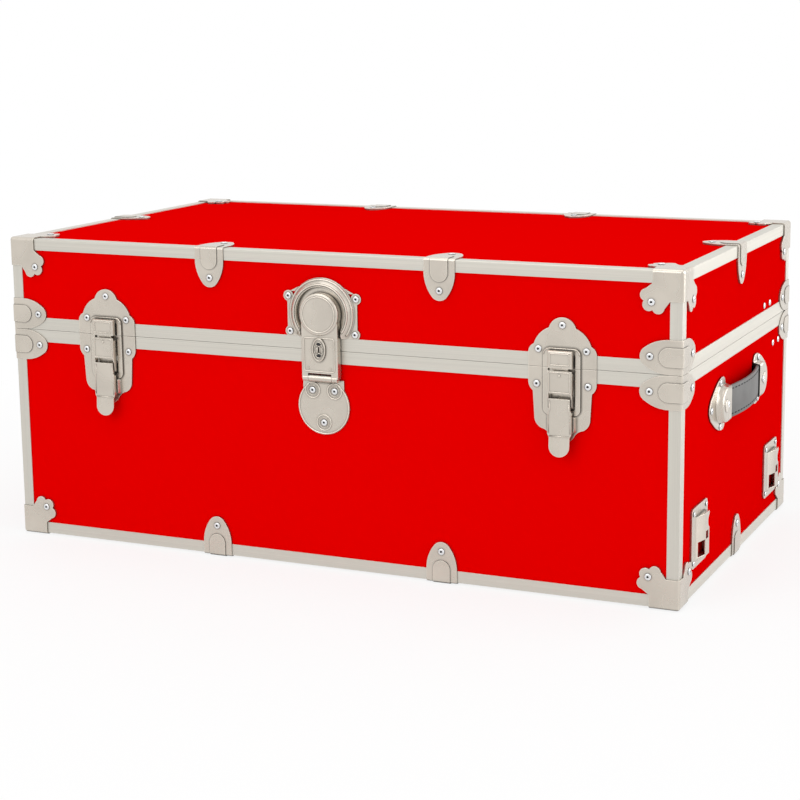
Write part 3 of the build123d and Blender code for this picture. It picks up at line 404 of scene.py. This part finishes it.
def rivet_head(bm, radius, height, place):
    """Spins the section into a head at a place; faces in the bore take the second, painted shade."""
    points = [bm.verts.new((x * radius, 0.0, z * height)) for x, z in RIVET_SECTION]
    chain = [bm.edges.new(pair) for pair in zip(points, points[1:])]
    bmesh.ops.spin(bm, geom=points + chain, cent=(0, 0, 0), axis=(0, 0, 1), angle=math.tau,
                   steps=RIVET_STEPS, use_merge=True)
    unwelded = list({vertex for face in bm.faces if not face.tag for vertex in face.verts})
    bmesh.ops.remove_doubles(bm, verts=unwelded, dist=WELD)
    fresh = [face for face in bm.faces if not face.tag]
    for face in fresh:
        face.tag = True
        face.smooth = True
        middle = face.calc_center_median()
        within = math.hypot(middle.x, middle.y) < BORE_SHARE * radius
        face.material_index = 1 if within and middle.z > BORE_FLOOR * height else 0
    bmesh.ops.recalc_face_normals(bm, faces=fresh)
    bmesh.ops.transform(bm, matrix=place, verts=list({vertex for face in fresh for vertex in face.verts}))


print("a head has about", RIVET_STEPS * (len(RIVET_SECTION) - 1), "faces")

# %% [markdown]
# A head goes to every place where the frame has a plain one. Each plain head is found as a group of joined
# vertices, and its box tells the rest: it is flat along one axis of the chest, and that axis, pointing away
# from the middle, is the way it faces.

# %% Where the heads sit
def plain_heads(obj):
    """Each plain head of a node as its box: lowest and highest corner."""
    bm = bmesh.new()
    bm.from_mesh(obj.data)
    bmesh.ops.remove_doubles(bm, verts=bm.verts, dist=WELD)
    left = set(bm.verts)
    boxes = []
    while left:
        group = [left.pop()]
        for vertex in group:
            for edge in vertex.link_edges:
                other = edge.other_vert(vertex)
                if other in left:
                    left.remove(other)
                    group.append(other)
        low = Vector(min(v.co[i] for v in group) for i in range(3))
        high = Vector(max(v.co[i] for v in group) for i in range(3))
        boxes.append((low, high))
    bm.free()
    return boxes


def facing(low, high):
    """A head's place with its axis outwards, its radius and its height."""
    size = high - low
    flat = min(range(3), key=lambda i: size[i])
    middle = (low + high) / 2
    way = Vector((0, 0, 0))
    way[flat] = 1.0 if flat == 2 or middle[flat] > 0 else -1.0
    foot = middle - way * size[flat] / 2
    upright = way.to_track_quat("Z", "Y").to_matrix().to_4x4()
    return Matrix.Translation(foot) @ upright, max(size) / 2, size[flat]


def hollow_rivets(name, body):
    bm = bmesh.new()
    boxes = plain_heads(nodes[name])
    for low, high in boxes:
        place, radius, height = facing(low, high)
        rivet_head(bm, radius, height, place)
    heads = new_piece(bm, "hollow_" + name, rivet_shine, hole_painted_shade)
    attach(heads, body)
    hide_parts(name)
    print(heads.name, len(boxes), "heads", len(heads.data.polygons), "faces")


hollow_rivets("base_rivets", "base")
hollow_rivets("lid_rivets", "lid")

# %% [markdown]
# The lock and the latches are pressed sheet, and their look comes from what the press left: raised beads,
# bosses round the rivets and a rounded rim on the cup. Each of these is a bead of small oval section, half
# sunk in its plate. A path is written in the front's own coordinates: across, up from the seam, and out
# from the face of the edging, in millimetres. Both come from the frame: the latch's plate ends at the seam,
# and the rim's front is the face. Along the path stand rings, and each ring is bridged to the next.

# %% A bead along a path
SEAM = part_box("left_latch_plate")[1].z / MM
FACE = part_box("base_rim")[0].y / MM
BEAD_SIDES = 10


def front_point(across, up, out):
    """A point of the front's own coordinates in the chest's, in metres."""
    return Vector((across, FACE - out, SEAM + up)) * MM


def sweep(bm, path, closed, width, height):
    """Sets an oval ring at each (across, up, out) point of a path and bridges every ring to the next."""
    rings = []
    count = len(path)
    oval = Matrix.Diagonal((1.0, height * MM, width / 2 * MM, 1.0))
    across_path = Matrix.Rotation(math.radians(90), 4, "Y")
    for i, (across, up, out) in enumerate(path):
        before = path[i - 1] if closed or i else path[i]
        after = path[(i + 1) % count] if closed or i < count - 1 else path[i]
        heading = math.atan2(after[1] - before[1], after[0] - before[0])
        stand = Matrix.Translation(front_point(across, up, out)) @ Matrix.Rotation(-heading, 4, "Y")
        place = stand @ oval @ across_path
        ring = bmesh.ops.create_circle(bm, cap_ends=False, segments=BEAD_SIDES, radius=1.0, matrix=place)
        rings.append(list({edge for vertex in ring["verts"] for edge in vertex.link_edges}))
    pairs = list(zip(rings, rings[1:] + rings[:1])) if closed else list(zip(rings, rings[1:]))
    for one, two in pairs:
        bmesh.ops.bridge_loops(bm, edges=one + two)
    if not closed:
        bmesh.ops.holes_fill(bm, edges=rings[0] + rings[-1], sides=BEAD_SIDES)


print("seam at", round(SEAM, 3), "mm and front face at", round(FACE, 3), "mm")

# %% [markdown]
# Most beads follow a circle, a part of one, an upright oval or a rectangle with round corners. These
# helpers list the points of such paths. The last one makes a single piece of several beads.

# %% Paths, and pieces of beads
CORNER_POINTS = 6


def arc(middle_x, middle_y, radius, out, start=0.0, end=360.0, steps=64, squeeze=1.0):
    """Points round a circle, or round an upright oval where squeeze is under one."""
    gaps = steps if abs(end - start) >= 360 else steps - 1
    turns = [math.radians(start + (end - start) * i / gaps) for i in range(steps)]
    return [(middle_x + squeeze * radius * math.cos(t), middle_y + radius * math.sin(t), out) for t in turns]


def panel(half, low, high, corner, out, middle_x=0.0):
    """Points round an upright rectangle with round corners, from upper right to lower right."""
    points = []
    for cx, cy, start in ((half, high, 0), (-half, high, 90), (-half, low, 180), (half, low, 270)):
        inner_x = middle_x + math.copysign(abs(cx) - corner, cx)
        inner_y = cy - corner if cy == high else cy + corner
        for i in range(CORNER_POINTS):
            turn = math.radians(start + 90 * i / (CORNER_POINTS - 1))
            points.append((inner_x + corner * math.cos(turn), inner_y + corner * math.sin(turn), out))
    return points


def beads(name, body, paths):
    """One piece of several beads: each is its path, whether it closes, its width and its height."""
    bm = bmesh.new()
    for path, closed, width, height in paths:
        sweep(bm, path, closed, width, height)
    for face in bm.faces:
        face.smooth = len(face.verts) == 4
    bmesh.ops.recalc_face_normals(bm, faces=bm.faces)
    piece = new_piece(bm, name, plating)
    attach(piece, body)
    print(name, len(paths), "beads", len(piece.data.polygons), "faces")


print("bead helpers ready")

# %% [markdown]
# The lock's lid plate has a ridge all round its arch, with two finer ones inside it. The base plate's disc
# has a rolled rim and two rings round each of its three rivets. The hasp has a rounded rim round its cup, a
# raised border down its strap, an upright oval shield round the keyhole and two small studs. Each height
# that a bead sits at is named for the surface there.

# %% The lock's pressed forms
ARCH = (0.0, 41.0)
ARCH_ENDS = (-38, 218)
ARCH_INNER_ENDS = (-34, 214)
PLATE_OUT = 2.6
RIDGE_OUT = 5.7
DISC = (0.0, -63.0)
DISC_OUT = 0.4
DISC_ENDS = (126, 414)
DISC_RIVETS = ((-13.5, -45.0), (13.5, -45.0), (0.0, -81.0))
HASP_OUT = 9.3
SHIELD_OUT = 9.9
PLUG_OUT = 10.1
CUP_OUT = 10.4
KEYHOLE = (0.0, 2.0)
STUDS = ((-13.5, -18.6), (13.5, -18.6))

beads("lock_arch_beads", "lid", [
    (arc(*ARCH, 37.4, PLATE_OUT, *ARCH_ENDS), False, 2.6, 1.0),
    (arc(*ARCH, 32.4, RIDGE_OUT, *ARCH_ENDS), False, 2.2, 1.2),
    (arc(*ARCH, 30.4, RIDGE_OUT - 0.2, *ARCH_INNER_ENDS), False, 1.2, 0.8),
])
disc_beads = [(arc(*DISC, 30.4, DISC_OUT, *DISC_ENDS), False, 1.8, 0.7)]
for rivet in DISC_RIVETS:
    disc_beads.append((arc(*rivet, 8.6, DISC_OUT, steps=32), True, 1.7, 0.75))
    disc_beads.append((arc(*rivet, 5.6, DISC_OUT, steps=28), True, 1.0, 0.55))
beads("lock_disc_beads", "base", disc_beads)
hasp_beads = [
    (arc(*ARCH, 19.6, CUP_OUT, steps=56), True, 1.5, 0.5),
    (panel(18.4, -22.0, 15.0, 2.5, HASP_OUT), True, 1.3, 0.6),
    (arc(*KEYHOLE, 12.2, SHIELD_OUT, steps=40, squeeze=0.6), True, 1.9, 1.3),
    (arc(*KEYHOLE, 8.6, PLUG_OUT, steps=36, squeeze=0.62), True, 0.9, 0.7),
]
hasp_beads += [(arc(*stud, 0.8, HASP_OUT, steps=12), True, 1.0, 0.6) for stud in STUDS]
beads("lock_hasp_beads", "hasp", hasp_beads)

# %% [markdown]
# Inside its shield the keyhole is dark above and below the plug, and the plug has a bright lip on each side
# of its slot. That dark is painted shade: two flat dark ovals that leave the plug free. They move with the
# hasp, and the lips are on the plug, so that they turn with the key.

# %% Keyhole
SHADE_AWAY = 6.5
SHADE_HALF = (2.9 * MM, 0.45 * MM, 1.8 * MM)
LIP_ACROSS = 1.7
LIP_HALF = 3.8


# Painted shade: two flat dark ovals above and below the plug.
def keyhole_painted_shade():
    bm = bmesh.new()
    for way in (-1, 1):
        middle = front_point(KEYHOLE[0], KEYHOLE[1] + way * SHADE_AWAY, PLUG_OUT)
        place = Matrix.Translation(middle) @ Matrix.Diagonal((*SHADE_HALF, 1.0))
        bmesh.ops.create_uvsphere(bm, u_segments=20, v_segments=12, radius=1.0, matrix=place)
    for face in bm.faces:
        face.smooth = True
    shade_ovals = new_piece(bm, "lock_keyhole_painted_shade", hole_painted_shade)
    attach(shade_ovals, "hasp")
    print(shade_ovals.name, len(shade_ovals.data.polygons), "faces")


def lip(way):
    """The path of the lip on one side of the slot."""
    return [(way * LIP_ACROSS, KEYHOLE[1] + end * LIP_HALF, PLUG_OUT) for end in (-1, 1)]


keyhole_painted_shade()
beads("lock_plug_lips", "key_plug", [(lip(-1), False, 1.2, 0.7), (lip(1), False, 1.2, 0.7)])

# %% [markdown]
# Each latch has a pressed border round its hood, a rolled edge over the top of the raised frame, a border
# down the claw with one small dimple near its top, and on the lever a bead down each side and a crease
# where it narrows to its tongue. The frame's edge is open below, so only the two upper corners of its
# rectangle are used.

# %% The latches' pressed forms
catch_low, catch_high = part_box("right_latch_catch")
LATCH_X = (catch_low.x + catch_high.x) / 2 / MM
LATCH_OUT = 10.2
HOOD_OUT = 10.0
CATCH_OUT = 3.2
LEVER_SIDE = ((10.6, -33.4), (10.6, -43.4), (12.0, -47.0), (12.0, -68.0))
CREASE_HALF = 11.0
CREASE_UP = -71.2


def lever_side(x, way):
    """The path down one side of a lever whose middle is at x."""
    return [(x + way * across, up, LATCH_OUT) for across, up in LEVER_SIDE]


for side, x in (("left", -LATCH_X), ("right", LATCH_X)):
    frame_edge = panel(20.0, 1.4, 20.4, 6.4, CATCH_OUT, x)[:2 * CORNER_POINTS]
    crease = [(x + way * CREASE_HALF, CREASE_UP, LATCH_OUT) for way in (-1, 1)]
    beads(side + "_hood_beads", "lid", [
        (panel(10.8, 4.2, 16.2, 1.6, HOOD_OUT, x), True, 1.1, 0.5),
        (frame_edge, False, 1.2, 0.7),
    ])
    beads(side + "_claw_beads", side + "_claw", [
        (panel(11.4, -24.6, -3.4, 1.4, LATCH_OUT, x), True, 1.1, 0.5),
        (arc(x, -6.6, 0.7, LATCH_OUT, steps=12), True, 1.4, 0.7),
    ])
    beads(side + "_lever_beads", side + "_lever", [
        (lever_side(x, -1), False, 1.0, 0.45),
        (lever_side(x, 1), False, 1.0, 0.45),
        (crease, False, 1.2, 0.5),
    ])
print("latches at", round(LATCH_X, 3), "mm from the middle")

# %% [markdown]
# A handle's mount is a shaped plate with a deep round-ended dish pressed out of it, open towards the strap.
# The plate is an outline that is given its thickness and a rounded rim. It is drawn with its mouth at the
# origin and its far end at minus x, and its place comes from the frame: the strap gives the handle's
# middle, and the front mount's inner end gives the distance of the mouths from it.

# %% A mount's plate
strap_low, strap_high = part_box("right_handle_strap")
MOUNT_MIDDLE_Y = (strap_low.y + strap_high.y) / 2 / MM
MOUNT_Z = (strap_low.z + strap_high.z) / 2 / MM
END_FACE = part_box("base_rim")[1].x / MM
MOUTH = MOUNT_MIDDLE_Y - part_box("right_handle_mount_front")[1].y / MM
MOUNT_FOOT = -1.1
PLATE_THICK = 2.3
PLATE_ROUND = 0.5
PLATE_HALF = (
    (0.0, 21.0), (-1.2, 25.0), (-4.2, 28.2), (-8.6, 29.5), (-14.0, 29.6), (-20.0, 28.7), (-27.0, 26.6),
    (-36.0, 23.0), (-44.0, 18.6), (-51.0, 14.4), (-56.6, 10.8), (-59.5, 7.0), (-61.8, 3.6), (-62.4, 0.0),
)


def mount_plate(bm):
    """The mount's plate: two ears above and below the mouth and a rounded point at the far end."""
    outline = list(PLATE_HALF) + [(x, -y) for x, y in reversed(PLATE_HALF[:-1])]
    flat = bm.faces.new([bm.verts.new((x, y, MOUNT_FOOT)) for x, y in outline])
    top = faces_in(bmesh.ops.extrude_face_region(bm, geom=[flat])["geom"])[0]
    bmesh.ops.translate(bm, verts=top.verts, vec=(0, 0, PLATE_THICK))
    bmesh.ops.bevel(bm, geom=list(top.edges), offset=PLATE_ROUND, offset_type="OFFSET", affect="EDGES",
                    segments=2, profile=0.5, material=-1)


print("mounts: middle y", round(MOUNT_MIDDLE_Y, 3), "z", round(MOUNT_Z, 3), "mouth", round(MOUTH, 3), "mm")

# %% [markdown]
# The dish starts as a disc that is stretched beyond the mouth. It is extruded in place, and its top is then
# inset in steps and lifted after each: out of the plate, up a steep wall and in to a flat top. The extruded
# ring is still where it started, so the doubles are merged. Then a plane cuts the dish off at the mouth,
# and the cut is closed with a face that the strap runs into, dark with painted shade for the open mouth.

# %% A mount's dish
DISH_HALF = 21.4
DISH_FAR = 38.0
DISH_SIDES = 36
DISH_STEPS = ((0.01, 2.3), (0.9, 0.3), (1.1, 5.2), (0.5, 1.3), (0.8, 0.6), (1.1, 0.1))
DISH_WELD = 0.001
# The mouth's face is near black: painted shade for the open mouth.
MOUTH_PAINTED_SHADE = (0.012, 0.012, 0.012)
mouth_shade, _, _ = new_finish("mount_mouth_painted_shade", MOUTH_PAINTED_SHADE, 0.9, specular=0.1)


def mount_dish():
    """The dish, cut off at its mouth, in a bmesh of its own."""
    bm = bmesh.new()
    centre = DISH_HALF - DISH_FAR
    disc = bmesh.ops.create_circle(bm, cap_ends=True, segments=DISH_SIDES, radius=DISH_HALF)["verts"]
    bmesh.ops.translate(bm, verts=disc, vec=(centre, 0, MOUNT_FOOT))
    ahead = [vertex for vertex in disc if vertex.co.x > centre + 0.01]
    bmesh.ops.translate(bm, verts=ahead, vec=(DISH_FAR, 0, 0))
    bm.normal_update()
    top = faces_in(bmesh.ops.extrude_face_region(bm, geom=list(bm.faces))["geom"])[0]
    for inset, rise in DISH_STEPS:
        bmesh.ops.inset_region(bm, faces=[top], thickness=inset, depth=0, use_even_offset=True)
        bmesh.ops.translate(bm, verts=top.verts, vec=(0, 0, rise))
    bmesh.ops.remove_doubles(bm, verts=bm.verts, dist=DISH_WELD)
    everything = list(bm.verts) + list(bm.edges) + list(bm.faces)
    cut = bmesh.ops.bisect_plane(bm, geom=everything, plane_co=(0, 0, 0), plane_no=(1, 0, 0),
                                 clear_outer=True)
    rim = [item for item in cut["geom_cut"] if isinstance(item, bmesh.types.BMEdge)]
    for face in bmesh.ops.edgeloop_fill(bm, edges=rim)["faces"]:
        face.material_index = 1
    return bm


print("finish:", mouth_shade.name)

# %% [markdown]
# A mount is its plate, its dish and a low raised disc on the dish's flat top. The disc lies beside the
# middle rivet and not round it: its middle is 7 mm further from the mouth. One matrix stands the mount up
# on an end of the chest: out of the plate becomes out of that end, and away from the mouth becomes along
# it.

# %% Handle mounts
PAD_X = -21.0
PAD_RADIUS = 7.4
PAD_SLOPE = 0.8
PAD_MIDDLE = 9.0
PAD_THICK = 1.0
PAD_SIDES = 28


def handle_mount(name, side, along):
    """A mount on one end; along is -1 for the front one and 1 for the back one."""
    bm = mount_dish()
    mount_plate(bm)
    bmesh.ops.create_cone(bm, cap_ends=True, segments=PAD_SIDES, radius1=PAD_RADIUS,
                          radius2=PAD_RADIUS - PAD_SLOPE, depth=PAD_THICK,
                          matrix=Matrix.Translation((PAD_X, 0, PAD_MIDDLE)))
    for face in bm.faces:
        face.smooth = len(face.verts) == 4
    stand = Matrix((
        (0, 0, side, side * END_FACE),
        (-along, 0, 0, MOUNT_MIDDLE_Y + along * MOUTH),
        (0, 1, 0, MOUNT_Z),
        (0, 0, 0, 1),
    ))
    bmesh.ops.transform(bm, matrix=Matrix.Scale(MM, 4) @ stand, verts=bm.verts)
    bmesh.ops.recalc_face_normals(bm, faces=bm.faces)
    piece = new_piece(bm, "pressed_" + name, plating, mouth_shade)
    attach(piece, "base")
    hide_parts(name)
    print(piece.name, len(piece.data.polygons), "faces")


for end, side in (("right", 1), ("left", -1)):
    handle_mount(end + "_handle_mount_front", side, -1)
    handle_mount(end + "_handle_mount_back", side, 1)

# %% [markdown]
# The handle is a strap of grey vinyl, folded to double thickness and sewn near both edges. Its material is
# a fine grain over a broad, faint change of tone. The thread is nearly black.

# %% Grey strap and thread
VINYL = (0.142, 0.141, 0.137)
VINYL_TONES = ((0.125, 0.124, 0.120), (0.158, 0.157, 0.152))
THREAD = (0.015, 0.015, 0.015)


def grey_vinyl():
    material, tree, shader = new_finish("grey_strap", VINYL, 0.5, specular=0.4)
    grain = noise(tree, stretched(tree, (1, 1, 1)), 900.0, 4.0)
    broad = noise(tree, stretched(tree, (1, 1, 1)), 45.0, 2.0)
    tree.links.new(ramp(tree, broad, 0.3, 0.7, VINYL_TONES), shader.inputs["Base Color"])
    tree.links.new(spread(tree, grain, 0.42, 0.6), shader.inputs["Roughness"])
    raise_surface(tree, shader, grain, distance=0.00012, strength=0.5)
    return material


vinyl = grey_vinyl()
thread, _, _ = new_finish("strap_thread", THREAD, 0.8, specular=0.2)
print("finishes:", vinyl.name, thread.name)

# %% [markdown]
# The strap starts as a flat block with rounded long edges that is cut across many times, so that it can
# bow. The stitches are small separate ridges of thread, sunk halfway into its outer face.

# %% The strap's block and its stitches
STRAP_THICK = 3.4 * MM
STRAP_ROUND = 1.1 * MM
STRAP_CUTS = 40
STITCH_PITCH = 8.6 * MM
STITCH_IN = 4.0 * MM
STITCH_HALF = (0.5 * MM, 2.9 * MM, 0.75 * MM)
LONG_EDGE = 0.01


def lengthwise(bm):
    """The edges that run along the strap."""
    return [edge for edge in bm.edges if abs(edge.verts[0].co.y - edge.verts[1].co.y) > LONG_EDGE]


def strap_block(low, high):
    """The strap's body, as long and as wide as its node's box, flat and at the origin."""
    bm = bmesh.new()
    bmesh.ops.create_cube(bm, size=1.0)
    bmesh.ops.scale(bm, vec=(STRAP_THICK, high.y - low.y, high.z - low.z), verts=bm.verts)
    bmesh.ops.bevel(bm, geom=lengthwise(bm), offset=STRAP_ROUND, offset_type="OFFSET", affect="EDGES",
                    segments=3, profile=0.5, material=-1)
    bmesh.ops.subdivide_edges(bm, edges=lengthwise(bm), cuts=STRAP_CUTS, use_grid_fill=True)
    return bm


def stitches(bm, half_width, reach):
    """Ridges of thread along both edges of the strap's outer face."""
    count = int(2 * reach / STITCH_PITCH)
    for side in (-1, 1):
        for i in range(count):
            along = -reach + (i + 0.5) * STITCH_PITCH
            place = Matrix.Translation((STRAP_THICK / 2, along, side * (half_width - STITCH_IN)))
            ridge = place @ Matrix.Diagonal((*STITCH_HALF, 1.0))
            made = bmesh.ops.create_uvsphere(bm, u_segments=8, v_segments=5, radius=1.0, matrix=ridge)
            for face in {face for vertex in made["verts"] for face in vertex.link_faces}:
                face.material_index = 1
    return 2 * count


print("strap helpers ready")

# %% [markdown]
# Between the two mouths the strap stands off the end in a shallow arch, and inside the mounts it runs flat.
# Every vertex of block and stitches is lifted by that arch, so the thread follows the strap.

# %% Strap handles
STRAP_FLAT = MOUTH * MM
STRAP_SEAT = 3.4 * MM
STRAP_BOW = 9.6 * MM
STRAP_CLEAR = 0.1 * MM
SEWN_REACH = 78 * MM


def strap_lift(along):
    """How far the strap's inner face stands off the edging at a distance from its middle."""
    if abs(along) >= STRAP_FLAT:
        return STRAP_SEAT
    return STRAP_SEAT + (STRAP_BOW - STRAP_SEAT) * (1 - (along / STRAP_FLAT) ** 2)


def strap(name, side):
    low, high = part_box(name)
    middle_y = (low.y + high.y) / 2
    middle_z = (low.z + high.z) / 2
    bm = strap_block(low, high)
    sewn = stitches(bm, (high.z - low.z) / 2, SEWN_REACH)
    for vertex in bm.verts:
        x, y, z = vertex.co
        out = x + strap_lift(y) + STRAP_THICK / 2 + STRAP_CLEAR
        vertex.co = (side * (END_FACE * MM + out), middle_y + y, middle_z + z)
    for face in bm.faces:
        face.smooth = True
    bmesh.ops.recalc_face_normals(bm, faces=bm.faces)
    piece = new_piece(bm, "sewn_" + name, vinyl, thread)
    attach(piece, "base")
    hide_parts(name)
    print(piece.name, "stitches:", sewn, "faces:", len(piece.data.polygons))


strap("right_handle_strap", 1)
strap("left_handle_strap", -1)

# %% [markdown]
# The studio is a white floor under a large soft sky. The sky does most of the work, so that a colour
# renders about as it is written, and broad lamps only give the faces their small differences. The sky is
# white for the camera, for reflections and through openings, but lights the chest with less than that.

# %% Sky
WHITE = (1.0, 1.0, 1.0, 1.0)
SKY_LIGHT = 0.72
SKY_SEEN = 1.0


def straight_or_mirrored(tree, rays):
    """One for camera, glossy and transmission rays, and zero for the light that reaches the chest."""
    total = rays.outputs["Is Camera Ray"]
    for kind in ("Is Glossy Ray", "Is Transmission Ray"):
        both = node(tree, "ShaderNodeMath", operation="MAXIMUM")
        tree.links.new(total, both.inputs[0])
        tree.links.new(rays.outputs[kind], both.inputs[1])
        total = both.outputs["Value"]
    return total


world = bpy.data.worlds.new("studio")
bpy.context.scene.world = world
world.use_nodes = True
sky = world.node_tree
plain = sky.nodes["Background"]
plain.inputs["Color"].default_value = WHITE
plain.inputs["Strength"].default_value = SKY_LIGHT
seen = node(sky, "ShaderNodeBackground", Color=WHITE, Strength=SKY_SEEN)
path = node(sky, "ShaderNodeLightPath")
choose = node(sky, "ShaderNodeMixShader")
sky.links.new(straight_or_mirrored(sky, path), choose.inputs["Fac"])
sky.links.new(plain.outputs["Background"], choose.inputs[1])
sky.links.new(seen.outputs["Background"], choose.inputs[2])
sky.links.new(choose.outputs["Shader"], sky.nodes["World Output"].inputs["Surface"])
bpy.context.scene.view_settings.view_transform = "Standard"
print("sky strength", SKY_LIGHT)

# %% [markdown]
# The floor is a mix of a real matt floor and plain white. Near the chest a part of it is real, so that it
# keeps the shadow. Further out it fades to the same white as the sky, so no horizon shows.

# %% Floor
FLOOR_SIZE = 12.0
FLOOR_COLOUR = (0.9, 0.9, 0.9)
FADE_START = 0.45
FADE_END = 1.1
WHITE_NEAR = 0.8


def pale_floor():
    material, tree, shader = new_finish("pale_floor", FLOOR_COLOUR, 0.9)
    glow = node(tree, "ShaderNodeEmission", Color=WHITE, Strength=1.0)
    rays = node(tree, "ShaderNodeLightPath")
    place = node(tree, "ShaderNodeTexCoord")
    away = node(tree, "ShaderNodeVectorMath", operation="LENGTH")
    tree.links.new(place.outputs["Object"], away.inputs[0])
    fade = node(tree, "ShaderNodeMapRange")
    fade.inputs["From Min"].default_value = FADE_START
    fade.inputs["From Max"].default_value = FADE_END
    fade.inputs["To Min"].default_value = WHITE_NEAR
    tree.links.new(away.outputs["Value"], fade.inputs["Value"])
    share = node(tree, "ShaderNodeMath", operation="MULTIPLY")
    mix = node(tree, "ShaderNodeMixShader")
    tree.links.new(straight_or_mirrored(tree, rays), share.inputs[0])
    tree.links.new(fade.outputs["Result"], share.inputs[1])
    tree.links.new(share.outputs["Value"], mix.inputs["Fac"])
    tree.links.new(shader.outputs["BSDF"], mix.inputs[1])
    tree.links.new(glow.outputs["Emission"], mix.inputs[2])
    tree.links.new(mix.outputs["Shader"], tree.nodes["Material Output"].inputs["Surface"])
    return material


floor_bm = bmesh.new()
bmesh.ops.create_grid(floor_bm, x_segments=1, y_segments=1, size=FLOOR_SIZE)
floor = new_piece(floor_bm, "studio_floor", pale_floor())
print("floor", floor.dimensions.x, "m across")

# %% [markdown]
# Four broad lamps look at the middle of the chest. Three of them light the front, the right end and the top
# a little. The fourth stands to the right and behind, and only gives reflections, so that the metal on that
# end shines.

# %% Lamps
LAMP_TARGET = Vector((0, 0, 0.18))


def soft_lamp(name, place, size, power):
    """A square lamp that looks at the middle of the chest."""
    data = bpy.data.lights.new(name, "AREA")
    data.size = size
    data.energy = power
    lamp = bpy.data.objects.new(name, data)
    away = LAMP_TARGET - Vector(place)
    lamp.matrix_world = Matrix.Translation(place) @ away.to_track_quat("-Z", "Y").to_matrix().to_4x4()
    bpy.context.scene.collection.objects.link(lamp)
    return lamp


soft_lamp("front_lamp", place=(-0.8, -2.6, 1.5), size=1.8, power=17.0)
soft_lamp("right_lamp", place=(2.8, -0.6, 1.3), size=1.8, power=15.0)
soft_lamp("top_lamp", place=(0.0, -0.2, 2.6), size=2.2, power=14.0)
glint = soft_lamp("side_glint", place=(2.2, 1.2, 0.5), size=2.0, power=40.0)
glint.visible_diffuse = False
